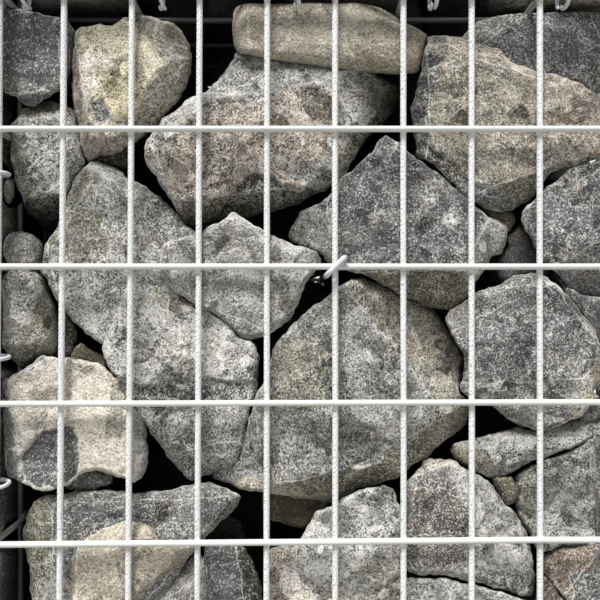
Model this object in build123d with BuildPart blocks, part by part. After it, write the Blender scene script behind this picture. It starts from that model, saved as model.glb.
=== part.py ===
# Gabion wall: welded-mesh baskets in bays and courses, filled with stone, with hooked spacer ties.
# Millimetres. X runs along the wall, +Y is the back and Z is up.
# The origin is the middle of the underside.
import math
import os
from build123d import *

os.makedirs("parts", exist_ok=True)

# The run of baskets, and the seams beside and between the bays
bay_names = ["left", "right"]
seam_names = ["left_end", "partition", "right_end"]
course_names = ["lower", "upper"]

# One basket, from seam to seam, and between the welds of its two faces
basket_length = 500.0
basket_depth = 300.0
basket_height = 500.0
seam_gap = 0.5

# Mesh: wire size, spacing of the wires, and the room between panels that are ringed together
wire = 4.5
narrow_pitch = 50.0
tall_pitch = 100.0
panel_gap = 0.3

# How far the wires run on past the last wire at the wall's own edges, where the corner rings sit
corner_room = 4.0

# Spacer tie: a rod through the basket, hooked at each face over the crossing nearest to this place
tie_from_seam = 250.0
tie_height = 300.0
tie_wire = 4.2
tie_sides = 8
tie_bend_radius = 4.5
tie_gap = 0.4
hook_past_crossing = 7.5
hook_tip_chamfer = 0.8

# Stone fill, as one packed block in each basket
fill_gap = 0.4
fill_chamfer = 10.0
fill_hole_gap = 0.9

half_wire = wire / 2
mesh_thickness = 2 * wire
last_bay = len(bay_names) - 1
last_course = len(course_names) - 1
wall_length = len(bay_names) * basket_length
wall_height = len(course_names) * basket_height
seam_places = [seam * basket_length - wall_length / 2 for seam in range(len(seam_names))]
course_bottoms = [course * basket_height for course in range(len(course_names))]


# Wires across a span: one at each edge, set in by its inset, and one at each whole pitch between
def wire_places(span, pitch, pitch_start, insets=(0, 0)):
    first = span[0] + insets[0] + half_wire
    last = span[1] - insets[1] - half_wire
    least_space = pitch / 4
    steps = range(1, math.ceil((last - pitch_start) / pitch))
    inner = [pitch_start + step * pitch for step in steps]
    inner = [place for place in inner if first + least_space < place < last - least_space]
    return [first, *inner, last]


# A panel's insets at its two ends: corner_room where it ends with the wall
def edge_insets(number, last_number):
    return (corner_room if number == 0 else 0, corner_room if number == last_number else 0)


# A welded panel on XY: wires along Y below the plane, and wires along X welded on top of them
def welded_mesh(span_x, span_y, places_x, places_y):
    middle_x = sum(span_x) / 2
    middle_y = sum(span_y) / 2
    with BuildPart() as mesh:
        with BuildSketch(Plane.XY.offset(-wire)):
            with Locations([(place, middle_y) for place in places_x]):
                Rectangle(wire, span_y[1] - span_y[0])
        extrude(amount=wire)
        with BuildSketch(Plane.XY):
            with Locations([(middle_x, place) for place in places_y]):
                Rectangle(span_x[1] - span_x[0], wire)
        extrude(amount=wire)
    return mesh.part


# The clear length of a bay between the panels at its two seams
def bay_span(bay, gap):
    left_panel = mesh_thickness + corner_room if bay == 0 else wire
    right_panel = mesh_thickness + corner_room if bay == last_bay else wire
    return (seam_places[bay] + left_panel + gap, seam_places[bay + 1] - right_panel - gap)


def save_piece(piece, name):
    piece.label = name
    export_step(piece, f"parts/{name}.step")


# Panels of one basket, from its left seam, the middle of its depth and its bottom
face_span_x = (seam_gap / 2, basket_length - seam_gap / 2)
panel_span_z = (seam_gap / 2, basket_height - seam_gap / 2)
inside_face = basket_depth / 2 - wire
inner_span_y = (panel_gap - inside_face, inside_face - panel_gap)
depth_places = wire_places(inner_span_y, narrow_pitch, -basket_depth / 2)
upright_places = [
    wire_places(face_span_x, narrow_pitch, 0, edge_insets(bay, last_bay))
    for bay in range(len(bay_names))
]
crosswire_places = [
    wire_places(panel_span_z, tall_pitch, 0, edge_insets(course, last_course))
    for course in range(len(course_names))
]

# The rod passes beside its crossing, far enough that its bends clear the crosswires
bend_room = tie_bend_radius * (1 - math.cos(math.radians(45)))
tie_offset = half_wire + tie_gap + bend_room + tie_wire / 2
tie_x = min(upright_places[0], key=lambda place: abs(place - tie_from_seam)) - tie_offset
tie_z = min(crosswire_places[0], key=lambda place: abs(place - tie_height)) - tie_offset
hook_y = basket_depth / 2 + wire + tie_gap + tie_wire / 2
hook_reach = tie_offset + hook_past_crossing
front_corner = Vector(tie_x, -hook_y, tie_z)
front_tip = front_corner + Vector(hook_reach, 0, hook_reach)
back_corner = Vector(tie_x, hook_y, tie_z)
back_tip = back_corner + Vector(hook_reach, 0, hook_reach)

with BuildPart() as hooked_rod:
    with BuildLine() as rod_route:
        FilletPolyline(front_tip, front_corner, back_corner, back_tip, radius=tie_bend_radius)
    with BuildSketch(Plane(rod_route.line @ 0, x_dir=(0, 1, 0), z_dir=rod_route.line % 0)):
        RegularPolygon(tie_wire / 2, tie_sides, major_radius=False, rotation=180 / tie_sides)
    sweep()
    for tip in (front_tip, back_tip):
        tip_face = hooked_rod.faces().sort_by_distance(tip)[0]
        chamfer(tip_face.edges(), hook_tip_chamfer)

# End panels and partitions: uprights to the inside, wires across the depth to the outside
side_facing = {"left_end": -1, "partition": 1, "right_end": 1}
side_inset = {"left_end": wire + corner_room, "partition": 0, "right_end": wire + corner_room}
for course, (course_name, bottom) in enumerate(zip(course_names, course_bottoms)):
    side_mesh = welded_mesh(inner_span_y, panel_span_z, depth_places, crosswire_places[course])
    for seam, seam_x in zip(seam_names, seam_places):
        facing = side_facing[seam]
        weld_origin = (seam_x - facing * side_inset[seam], 0, bottom)
        seam_weld = Plane(origin=weld_origin, x_dir=(0, facing, 0), z_dir=(facing, 0, 0))
        with BuildPart() as seam_mesh:
            with Locations(seam_weld):
                add(side_mesh)
        save_piece(seam_mesh.part, f"{seam}_mesh_{course_name}")

# Each basket's base, which is also the lid of the basket under it, and the lids on the top course
level_names = [f"base_mesh_{course}" for course in course_names] + ["lid_mesh"]
weld_levels = [wire] + course_bottoms[1:] + [wall_height - wire - corner_room]
for level, weld_z in zip(level_names, weld_levels):
    for bay, bay_name in enumerate(bay_names):
        level_span_x = bay_span(bay, panel_gap)
        across_places = wire_places(level_span_x, tall_pitch, seam_places[bay])
        flat_mesh = welded_mesh(level_span_x, inner_span_y, across_places, depth_places)
        with BuildPart() as level_mesh:
            with Locations((0, 0, weld_z)):
                add(flat_mesh)
        save_piece(level_mesh.part, f"{level}_{bay_name}")

# The faces, fill and tie of each basket
for course, (course_name, bottom) in enumerate(zip(course_names, course_bottoms)):
    for bay, (bay_name, left) in enumerate(zip(bay_names, seam_places)):
        basket = f"{course_name}_{bay_name}"

        # Front and back panels: uprights inside, crosswires outside
        face_mesh = welded_mesh(
            face_span_x, panel_span_z, upright_places[bay], crosswire_places[course]
        )
        front_origin = (left, -basket_depth / 2, bottom)
        with BuildPart() as front_mesh:
            with Locations(Plane(origin=front_origin, x_dir=(1, 0, 0), z_dir=(0, -1, 0))):
                add(face_mesh)
        save_piece(front_mesh.part, f"front_mesh_{basket}")
        with BuildPart() as back_mesh:
            mirror(front_mesh.part, about=Plane.XZ)
        save_piece(back_mesh.part, f"back_mesh_{basket}")

        # The stones stand on the mesh below them and stop short of the mesh above
        fill_start, fill_end = bay_span(bay, fill_gap)
        fill_bottom = weld_levels[course] + wire + fill_gap
        fill_top = weld_levels[course + 1] - wire - fill_gap
        half_fill_depth = inside_face - fill_gap
        with BuildPart() as stone_fill:
            with BuildSketch(Plane.XY.offset(fill_bottom)):
                with Locations(((fill_start + fill_end) / 2, 0)):
                    Rectangle(fill_end - fill_start, 2 * half_fill_depth)
            extrude(amount=fill_top - fill_bottom)
            chamfer(stone_fill.edges(), fill_chamfer)
            bore_mouth = (left + tie_x, -half_fill_depth, bottom + tie_z)
            with Locations(Plane(origin=bore_mouth, z_dir=(0, -1, 0))):
                Hole(tie_wire / 2 + fill_hole_gap)
        save_piece(stone_fill.part, f"stone_fill_{basket}")

        with BuildPart() as spacer_tie:
            with Locations((left, 0, bottom)):
                add(hooked_rod.part)
        save_piece(spacer_tie.part, f"spacer_tie_{basket}")
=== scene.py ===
import math

import bpy
import numpy as np
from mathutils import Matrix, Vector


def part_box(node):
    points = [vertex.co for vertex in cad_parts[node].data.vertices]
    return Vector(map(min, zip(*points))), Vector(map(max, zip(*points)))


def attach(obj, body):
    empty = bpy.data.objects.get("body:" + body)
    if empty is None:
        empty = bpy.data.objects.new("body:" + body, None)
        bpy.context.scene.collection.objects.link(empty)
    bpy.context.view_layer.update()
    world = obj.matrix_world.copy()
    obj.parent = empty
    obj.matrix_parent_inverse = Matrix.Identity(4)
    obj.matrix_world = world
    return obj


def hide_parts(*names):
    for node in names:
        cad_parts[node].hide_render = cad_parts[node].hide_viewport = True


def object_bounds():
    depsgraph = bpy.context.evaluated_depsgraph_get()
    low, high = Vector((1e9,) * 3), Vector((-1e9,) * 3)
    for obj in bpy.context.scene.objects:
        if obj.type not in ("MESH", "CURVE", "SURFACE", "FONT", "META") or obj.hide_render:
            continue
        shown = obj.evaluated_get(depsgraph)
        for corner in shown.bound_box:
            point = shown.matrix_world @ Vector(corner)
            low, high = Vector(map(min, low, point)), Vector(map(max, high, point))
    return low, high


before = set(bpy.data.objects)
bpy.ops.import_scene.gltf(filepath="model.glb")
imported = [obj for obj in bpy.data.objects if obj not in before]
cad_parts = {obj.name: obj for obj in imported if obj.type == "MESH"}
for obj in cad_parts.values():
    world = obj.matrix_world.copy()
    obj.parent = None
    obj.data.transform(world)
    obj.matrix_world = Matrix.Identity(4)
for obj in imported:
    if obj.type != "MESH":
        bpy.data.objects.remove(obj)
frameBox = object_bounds()
print("frame loaded:", len(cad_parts), "nodes")


# Camera, lamps and floor
viewer = {
    "place": (0.2242, -0.6078, 0.2757),
    "turn": (90, 0, 0),
    "focalPixels": 627.4,
    "picturePixels": 600,
    "sensor": 36.0,
    "nearest": 0.02,
}
stageLook = {
    "keyStrength": 4.8,
    "keyAngle": 24,
    "keyTurn": (31, 0, -20),
    "worldStrength": 0.26,
    "worldColour": (0.93, 0.96, 1.0, 1),
    "backdrop": (0.92, 0.93, 0.93, 1),
    "floorReach": 6.0,
    "floorRoughness": 0.9,
    "floorSeen": (0.82, 0.82, 0.80, 1),
    "floorBounce": (0.34, 0.34, 0.33, 1),
}


# Wraps an output socket, so that sums and products on it add Math nodes
class Flow:
    def __init__(self, socket):
        self.socket = socket
        self.tree = socket.id_data

    # Any node: its type, its settings, and then the values or links of its sockets
    @staticmethod
    def make(tree, kind, settings, inputs, pick=0):
        node = tree.nodes.new(kind)
        for name, value in settings.items():
            setattr(node, name, value)
        for key, value in inputs.items():
            if isinstance(value, Flow):
                tree.links.new(value.socket, node.inputs[key])
            else:
                node.inputs[key].default_value = value
        return Flow(node.outputs[pick])

    # All outputs of its node
    def every(self):
        return [Flow(output) for output in self.socket.node.outputs]

    def calc(self, operation, first, second=0.0):
        return Flow.make(self.tree, "ShaderNodeMath", {"operation": operation}, {0: first, 1: second})

    def __add__(self, other):
        return self.calc("ADD", self, other)

    def __sub__(self, other):
        return self.calc("SUBTRACT", self, other)

    def __rsub__(self, other):
        return self.calc("SUBTRACT", other, self)

    def __mul__(self, other):
        return self.calc("MULTIPLY", self, other)

    __radd__ = __add__
    __rmul__ = __mul__

    def sine(self):
        return self.calc("SINE", self)

    def most(self, other):
        return self.calc("MAXIMUM", self, other)

    def least(self, other):
        return self.calc("MINIMUM", self, other)

    def size(self):
        return self.calc("ABSOLUTE", self)

    # 0 below low and 1 above high, smooth between them
    def ramp(self, low, high):
        inputs = {"Value": self, "From Min": low, "From Max": high}
        return Flow.make(self.tree, "ShaderNodeMapRange", {"interpolation_type": "SMOOTHSTEP"}, inputs)


def mixColour(tree, share, first, second, blend="MIX"):
    settings = {"data_type": "RGBA", "blend_type": blend}
    return Flow.make(tree, "ShaderNodeMix", settings, {0: share, 6: first, 7: second}, 2)


def vectorCalc(tree, operation, *values, pick=0):
    settings = {"operation": operation}
    return Flow.make(tree, "ShaderNodeVectorMath", settings, dict(enumerate(values)), pick)


def noiseAt(tree, place, scale, detail=2.0, roughness=0.5, distortion=0.0):
    inputs = {"Vector": place, "Scale": scale, "Detail": detail, "Roughness": roughness}
    return Flow.make(tree, "ShaderNodeTexNoise", {}, {**inputs, "Distortion": distortion})


# Noises by name, from their scale, detail, roughness and distortion
def noisesAt(tree, place, noises):
    return {name: noiseAt(tree, place, *values) for name, values in noises.items()}


def objectPlace(tree):
    return Flow.make(tree, "ShaderNodeTexCoord", {}, {}, 3)


def partsOf(tree, place):
    return Flow.make(tree, "ShaderNodeSeparateXYZ", {}, {"Vector": place}).every()


# 1 for a ray from the camera or of one of the other kinds
def seenRays(tree, *others):
    outputs = Flow.make(tree, "ShaderNodeLightPath", {}, {}).socket.node.outputs
    seen = Flow(outputs["Is Camera Ray"])
    for other in others:
        seen = seen.most(Flow(outputs[other]))
    return seen


paintedShadeDepth = {"from": 0.022, "to": 0.068, "lightLeft": 0.06}  # depth in metres, and share of the light


# 1 near the outer faces, falling to a small share deep in the baskets: painted shade that darkens the colour
# inside
def openness(tree, place):
    x, y, z = partsOf(tree, place)
    halfLength, halfDepth, top = frameBox[1]
    inward = (halfDepth - y.size()).least(halfLength - x.size()).least(top - z)
    lightLeft = paintedShadeDepth["lightLeft"]
    return lightLeft + inward.ramp(paintedShadeDepth["to"], paintedShadeDepth["from"]) * (1 - lightLeft)


def newMaterial(name, shader):
    material = bpy.data.materials.new(name)
    material.use_nodes = True
    tree = material.node_tree
    skin = tree.nodes["Principled BSDF"]
    for key, value in shader.items():
        skin.inputs[key].default_value = value
    return material, tree, skin


# Links what varies over a surface to the shader
def feed(skin, **flows):
    names = {"colour": "Base Color", "roughness": "Roughness", "normal": "Normal"}
    for key, flow in flows.items():
        skin.id_data.links.new(flow.socket, skin.inputs[names[key]])


def bumpFrom(tree, height, distance, strength):
    inputs = {"Height": height, "Distance": distance, "Strength": strength}
    return Flow.make(tree, "ShaderNodeBump", {}, inputs)


def newObject(name, data):
    made = bpy.data.objects.new(name, data)
    bpy.context.scene.collection.objects.link(made)
    return made


def makeCamera():
    camera = newObject("camera", bpy.data.cameras.new("camera"))
    camera.data.sensor_width = viewer["sensor"]
    camera.data.lens = viewer["focalPixels"] / viewer["picturePixels"] * viewer["sensor"]
    camera.data.clip_start = viewer["nearest"]
    camera.location = viewer["place"]
    camera.rotation_euler = [math.radians(turn) for turn in viewer["turn"]]
    bpy.context.scene.camera = camera


def makeLamps():
    look = stageLook
    sun = newObject("key", bpy.data.lights.new("key", "SUN"))
    sun.data.energy = look["keyStrength"]
    sun.data.angle = math.radians(look["keyAngle"])
    sun.rotation_euler = [math.radians(turn) for turn in look["keyTurn"]]
    world = bpy.data.worlds.new("sky")
    bpy.context.scene.world = world
    world.use_nodes = True
    tree = world.node_tree
    sky = tree.nodes["Background"]
    sky.inputs["Color"].default_value = look["worldColour"]
    sky.inputs["Strength"].default_value = look["worldStrength"]
    seen = seenRays(tree, "Is Glossy Ray", "Is Transmission Ray")
    pale = Flow.make(tree, "ShaderNodeBackground", {}, {"Color": look["backdrop"], "Strength": 1.0})
    shown = Flow.make(tree, "ShaderNodeMixShader", {}, {0: seen, 1: Flow(sky.outputs[0]), 2: pale})
    tree.links.new(shown.socket, tree.nodes["World Output"].inputs["Surface"])


def makeFloor():
    look = stageLook
    mesh = bpy.data.meshes.new("floor")
    reach = look["floorReach"]
    corners = [(-reach, -reach, 0), (reach, -reach, 0), (reach, reach, 0), (-reach, reach, 0)]
    mesh.from_pydata(corners, [], [(0, 1, 2, 3)])
    floor = newObject("floor", mesh)
    material, tree, skin = newMaterial("paleFloor", {"Roughness": look["floorRoughness"]})
    seen = seenRays(tree, "Is Glossy Ray")
    feed(skin, colour=mixColour(tree, seen, look["floorBounce"], look["floorSeen"]))
    mesh.materials.append(material)


makeCamera()
makeLamps()
makeFloor()
bpy.context.scene.view_settings.view_transform = "Standard"
print("camera, lamps and floor made")


# Gathers grids of points, with their faces, material numbers and point attributes, into one piece
class Heap:
    def __init__(self):
        self.points, self.faces, self.kinds = [], [], []
        self.marks = {}
        self.count = 0

    def add(self, points, faces, kind=0, **marks):
        points = np.asarray(points, float).reshape(-1, 3)
        for group in faces:
            self.faces += (np.asarray(group) + self.count).tolist()
            self.kinds += [kind] * len(group)
        for name, values in marks.items():
            self.marks.setdefault(name, []).append(values)
        self.points.append(points)
        self.count += len(points)

    # The finished piece: it rides on the wall and stands for the nodes that it is given
    def piece(self, name, materials, slot, nodes=()):
        mesh = bpy.data.meshes.new(name)
        mesh.from_pydata(np.concatenate(self.points), [], self.faces)
        for material in materials:
            mesh.materials.append(material)
        mesh.polygons.foreach_set("material_index", self.kinds)
        mesh.polygons.foreach_set("use_smooth", [True] * len(self.faces))
        for mark, parts in self.marks.items():
            values = np.concatenate(parts).astype(np.float32)
            kind = "FLOAT" if values.ndim == 1 else "FLOAT_COLOR"
            layer = mesh.attributes.new(mark, kind, "POINT")
            layer.data.foreach_set("value" if values.ndim == 1 else "color", values.ravel())
        mesh.update()
        made = newObject(name, mesh)
        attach(made, "root")
        if nodes:
            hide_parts(*nodes)
        triangles = sum(len(face) - 2 for face in self.faces)
        print(f"{name}: {triangles} triangles")


# Quads between neighbouring points of grids (count, rows, columns) whose columns close on themselves
def gridQuads(count, rows, columns):
    numbers = np.arange(count * rows * columns).reshape(count, rows, columns)
    here, after = numbers[:, :-1], numbers[:, 1:]
    return np.stack([here, after, np.roll(after, -1, 2), np.roll(here, -1, 2)], -1).reshape(-1, 4)


# Fans from one end point of each grid to its first or last row
def endFans(count, rows, columns, row, firstPoint, flip):
    numbers = np.arange(count * rows * columns).reshape(count, rows, columns)[:, row]
    middle = np.repeat(firstPoint + np.arange(count)[:, None], columns, 1)
    beside = np.roll(numbers, -1, 1)
    order = [middle, beside, numbers] if flip else [middle, numbers, beside]
    return np.stack(order, -1).reshape(-1, 3)


# All faces of closed bodies: after the points of the grids come their start points and then their end points
def closedFaces(count, rows, columns):
    first = count * rows * columns
    return [
        gridQuads(count, rows, columns),
        endFans(count, rows, columns, 0, first, False),
        endFans(count, rows, columns, -1, first + count, True),
    ]


def unit(vectors):
    return vectors / np.linalg.norm(vectors, axis=-1, keepdims=True)


# Points from three coordinates, of which any may be one number
def placesAt(x, y, z):
    return np.stack(np.broadcast_arrays(x, y, z), -1).astype(float)


# 0 to 1 with level ends, and flat beyond them
def eased(share):
    share = np.clip(share, 0, 1)
    return share * share * (3 - 2 * share)


# Round wires carried along paths (count, rings, 3): each ring point is the path point plus radius times
# (cos a * side + sin a * over), where side and over stand square to the path, and the ends close on a point
def carryWires(paths, reference, radii, sides):
    count, rings = paths.shape[:2]
    along = unit(np.gradient(paths, axis=1))
    side = unit(np.cross(along, reference))
    over = np.cross(side, along)
    turn = np.arange(sides)[:, None] * 2 * math.pi / sides
    around = np.cos(turn) * side[:, :, None] + np.sin(turn) * over[:, :, None]
    body = paths[:, :, None] + radii[..., None, None] * around
    points = np.concatenate([body.reshape(-1, 3), paths[:, 0], paths[:, -1]])
    return points, closedFaces(count, rings, sides)


# Zinc: the noises as scale, detail and roughness, and the shares of what lies over the plain colour
zincLook = {
    "gloss": 0.45,
    "noises": {
        "cloud": (55, 3, 0.6),
        "grain": (900, 2, 0.6),
        "tinge": (130, 2, 0.5),
        "waver": (230, 3, 0.6),
        "gaps": (420, 2, 0.7),
        "pits": (620, 3, 0.65),
    },
    "fleckRise": 1.15,  # how steeply the flecks lean
    "fleckTurns": 1900,
    "fleckWaver": 17.0,
    "fleckEdges": (0.15, 0.85),
    "fleckLeast": 0.35,  # what is left of a fleck in the gaps
    "gapEdges": (0.38, 0.62),
    "grainEdges": (0.62, 0.78),
    "grainShare": 0.25,
    "cloudEdges": (0.6, 0.85),
    "cloudShare": 0.18,
    "tinges": [  # edges in the noise, share and colour
        ((0.55, 0.75), 0.22, (0.64, 0.67, 0.60, 1)),
        ((0.45, 0.22), 0.18, (0.72, 0.68, 0.78, 1)),
    ],
    # Painted shade: the colour that the wire darkens to deep inside the baskets
    "deep": (0.008, 0.008, 0.008, 1),
    "roughness": (0.42, 0.25),  # least, and how much the grain adds
    "pitHeight": 0.6,
    "bump": (0.00035, 0.35),  # distance, and strength without flecks
}


def zincMaterial(name, colour, dark, mottled):
    look = zincLook
    material, tree, skin = newMaterial(name, {"Metallic": 0.0, "Specular IOR Level": look["gloss"]})
    place = objectPlace(tree)
    noise = noisesAt(tree, place, look["noises"])
    # Slanting drawn-wire flecks: bands across a line that leans up to the right, broken up by noise
    x, y, z = partsOf(tree, place)
    slant = (z - (x + y) * look["fleckRise"]) * look["fleckTurns"] + noise["waver"] * look["fleckWaver"]
    whole = look["fleckLeast"] + noise["gaps"].ramp(*look["gapEdges"]) * (1 - look["fleckLeast"])
    fleck = slant.sine().ramp(*look["fleckEdges"]) * whole
    shade = fleck * mottled + noise["grain"].ramp(*look["grainEdges"]) * look["grainShare"]
    shade = shade + noise["cloud"].ramp(*look["cloudEdges"]) * look["cloudShare"]
    base = mixColour(tree, shade.ramp(0.0, 1.0), colour, dark)
    for edges, share, tinge in look["tinges"]:
        base = mixColour(tree, noise["tinge"].ramp(*edges) * share, base, tinge)
    # Painted shade: the colour darkens towards near black deep inside the baskets
    base = mixColour(tree, openness(tree, place), look["deep"], base)
    height = noise["pits"] * look["pitHeight"] - fleck * mottled
    smoothest, rougher = look["roughness"]
    distance, strength = look["bump"]
    feed(
        skin,
        colour=base,
        roughness=smoothest + noise["grain"] * rougher,
        normal=bumpFrom(tree, height, distance, strength * (1 + mottled)),
    )
    return material


zincSmooth = zincMaterial("zincSmooth", (0.69, 0.69, 0.66, 1), (0.50, 0.50, 0.51, 1), 0.08)
zincMottled = zincMaterial("zincMottled", (0.86, 0.87, 0.85, 1), (0.40, 0.41, 0.41, 1), 0.85)
# Inner panels: dull aged zinc, made darker still as painted shade
zincDullShaded = zincMaterial("zincDullShaded", (0.33, 0.34, 0.32, 1), (0.20, 0.21, 0.20, 1), 0.5)
tieZinc = zincMaterial("tieZinc", (0.66, 0.66, 0.70, 1), (0.38, 0.38, 0.42, 1), 0.2)

# Welded mesh panels
weldedMesh = {
    "radius": 0.00225,
    "sink": 0.00025,  # how far the wires of each layer sink into the weld
    "sides": 10,
    "photoSides": 16,
    "rings": 14,
    "photoRings": 60,
    "nipPlaces": (0.0012, 0.006),  # shares of the length
    "nipRadius": 0.78,
    "beadWide": 0.0031,
    "beadDeep": 0.0021,
    "beadGrid": (4, 8),
    "beadSizes": (0.85, 1.1),
    "beadSeed": 7,
    "edgeGap": 0.0003,  # from a basket's seam to the ends of its wires
    "span": 0.4994,
    "halfDepth": 0.1452,
    "faceWeld": 0.15,  # where the two layers of a face meet
    "sway": 0.0004,
    "sideSway": ((14, 5), (19, 6)),  # turns along the wire, and from wire to wire
    "levelSway": ((17, 7), (13, 9)),
}
bays = {"left": -0.5, "right": 0.0}
courses = {"lower": 0.0, "upper": 0.5}
seams = {"left_end": (-1, -0.4915), "partition": (1, 0.0), "right_end": (1, 0.4915)}  # facing, and weld
levels = {  # name of its wires, and weld
    "base_mesh_lower": ("baseWires", 0.0045),
    "base_mesh_upper": ("shelfWires", 0.5),
    "lid_mesh": ("lidWires", 0.9915),
}
innerPlaces = [0.1 * step for step in range(1, 5)]
uprights = {
    "left": [-0.4935] + [-0.5 + 0.05 * step for step in range(1, 10)] + [-0.0025],
    "right": [0.0030] + [0.05 * step for step in range(1, 10)] + [0.4935],
}
crosswires = {
    "lower": [0.0065] + innerPlaces + [0.4975],
    "upper": [0.5025] + [0.5 + level for level in innerPlaces] + [0.9935],
}
depthWires = [-0.14295, -0.1, -0.05, 0.0, 0.05, 0.1, 0.14295]
brightZinc = [zincMottled, zincSmooth]

faceShape = {
    "backTurn": 2.1,  # start of the waves on the back face
    "swayX": ((0.0005, 3.1, 9.0, 0.0), (0.0003, 11, 23, 0.0)),
    "swayZ": ((0.0006, 8.0, 4.0, 1.3), (0.0003, 21, 9, 0.0)),
    "leanAt": [0, 0.06, 0.31, 0.49, 0.5],
    "lean": [-0.0016, -0.0021, 0.0, 0.0015, 0.0012],
    "leanEnds": (0.26, 0.21),  # distance from the seam where the lean ends, and over which it fades
    "leanAbove": 0.35,  # height over which the lean fades above the photographed basket
    "droopAt": [0.0, 0.1, 0.2, 0.3, 0.5],
    "droopShare": [0.2, 1.0, 0.35, 0.0, 0.0],
    "droop": (-0.0022, 0.0037, 0.4),  # at the seam, its rise, and the length of the rise
    "lift": (0.0009, 0.2, 0.05),  # of one crosswire: reach, level and spread
    "photoEnds": (0.56, 0.06, 0.02, 1.5),  # of the photographed basket: level, fade, and the same at its seam
    "calm": (0.8, 0.9),  # how much less it sways
}


# Waves over a face, each as its reach, its turns along x and along z, and its start
def swayWaves(x, z, turn, terms):
    return sum(reach * np.sin(byX * x + byZ * z + start + turn) for reach, byX, byZ, start in terms)


# Lean and droop of a face, as moves in x and z at any place: the photographed corner leans left below
# and right above, fading away from the seam, its lower wires droop at the seam, and all else sways a little
def faceSway(x, z, back):
    shape = faceShape
    turn = shape["backTurn"] if back else 0.0
    swayX, swayZ = [swayWaves(x, z, turn, shape[name]) for name in ("swayX", "swayZ")]
    if back:
        return swayX, swayZ
    leanEnd, leanFade = shape["leanEnds"]
    fade = eased((leanEnd - np.abs(x)) / leanFade)
    lean = np.interp(np.clip(z, 0, 0.5), shape["leanAt"], shape["lean"])
    above = np.clip(1 - (z - 0.5) / shape["leanAbove"], 0, 1)
    topEnd, topFade, seamFade, seamEnd = shape["photoEnds"]
    photographed = np.clip((topEnd - z) / topFade, 0, 1) * np.clip(x / seamFade + seamEnd, 0, 1)
    atSeam, rise, length = shape["droop"]
    droop = atSeam + rise * np.clip(x / length, 0, 1)
    reach, level, spread = shape["lift"]
    lift = reach * np.exp(-(((z - level) / spread) ** 2))
    drop = np.interp(z, shape["droopAt"], shape["droopShare"]) * droop + lift
    calmX, calmZ = shape["calm"]
    moveX = swayX * (1 - photographed * calmX) + lean * fade * above
    moveZ = swayZ * (1 - photographed * calmZ) + drop * photographed
    return moveX, moveZ


# Straight wires from start to end, with points close to the ends for the nips
def wireRuns(start, end, rings):
    nip, body = weldedMesh["nipPlaces"]
    step = np.concatenate([[0, nip], np.linspace(body, 1 - body, rings - 4), [1 - nip, 1]])
    return start[:, None] + (end - start)[:, None] * step[None, :, None]


# A slight wave in each wire, with its start moved on from wire to wire
def swayWires(paths, axis, along, turns):
    turnsAlong, turnsBetween = turns
    wave = np.sin(turnsAlong * paths[..., along] + turnsBetween * paths[..., axis])
    paths[..., axis] += weldedMesh["sway"] * wave


# Weld beads: flattened balls, wide along the panel and thin across it
def weldBeads(heap, places, across):
    look = weldedMesh
    rows, columns = look["beadGrid"]
    down = (np.arange(rows)[:, None] + 0.5) * math.pi / rows
    turn = np.arange(columns) * 2 * math.pi / columns
    ball = placesAt(np.sin(down) * np.cos(turn), np.sin(down) * np.sin(turn), np.cos(down))
    size = np.full(3, look["beadWide"])
    size[across] = look["beadDeep"]
    count = len(places)
    rng = np.random.default_rng(look["beadSeed"] + across)
    grow = rng.uniform(*look["beadSizes"], (count, 1, 1, 1))
    body = places[:, None, None] + ball[None] * size * grow
    poles = places[:, None] + np.array([[0, 0, 1.0], [0, 0, -1.0]]) * size * grow[:, 0]
    points = np.concatenate([body.reshape(-1, 3), poles[:, 0], poles[:, 1]])
    heap.add(points, closedFaces(count, rows, columns), 1)


# A panel that is thin across one axis: its two layers of wires, welded where they cross
def makePanel(name, node, layers, spots, across, zinc, sides):
    heap = Heap()
    for kind, paths in enumerate(layers):
        radii = np.full(paths.shape[:2], weldedMesh["radius"])
        radii[:, [0, -1]] *= weldedMesh["nipRadius"]
        heap.add(*carryWires(paths, np.eye(3)[across], radii, sides), kind)
    weldBeads(heap, spots, across)
    heap.piece(name, zinc, "mesh_wire", [node])


def crossings(first, second):
    return np.array(np.meshgrid(first, second, indexing="ij")).reshape(2, -1)


def makeFacePanel(bay, course, back):
    look = weldedMesh
    facing = 1 if back else -1
    photographed = (bay, course, back) == ("right", "lower", False)
    rings = look["photoRings"] if photographed else look["rings"]
    sides = look["photoSides"] if photographed else look["sides"]
    x0, z0 = bays[bay] + look["edgeGap"], courses[course] + look["edgeGap"]
    x1, z1 = x0 + look["span"], z0 + look["span"]
    gap = look["radius"] - look["sink"]
    yUp, yCross = facing * (look["faceWeld"] - gap), facing * (look["faceWeld"] + gap)
    xs, zs = np.array(uprights[bay]), np.array(crosswires[course])
    up = wireRuns(placesAt(xs, yUp, z0), placesAt(xs, yUp, z1), rings)
    up[..., 0] += faceSway(up[..., 0], up[..., 2], back)[0]
    cross = wireRuns(placesAt(x0, yCross, zs), placesAt(x1, yCross, zs), rings)
    cross[..., 2] += faceSway(cross[..., 0], cross[..., 2], back)[1]
    x, z = crossings(xs, zs)
    moveX, moveZ = faceSway(x, z, back)
    spots = placesAt(x + moveX, facing * look["faceWeld"], z + moveZ)
    side = "back" if back else "front"
    node = f"{side}_mesh_{course}_{bay}"
    makePanel(f"{side}Wires_{course}_{bay}", node, (up, cross), spots, 1, brightZinc, sides)


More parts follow.
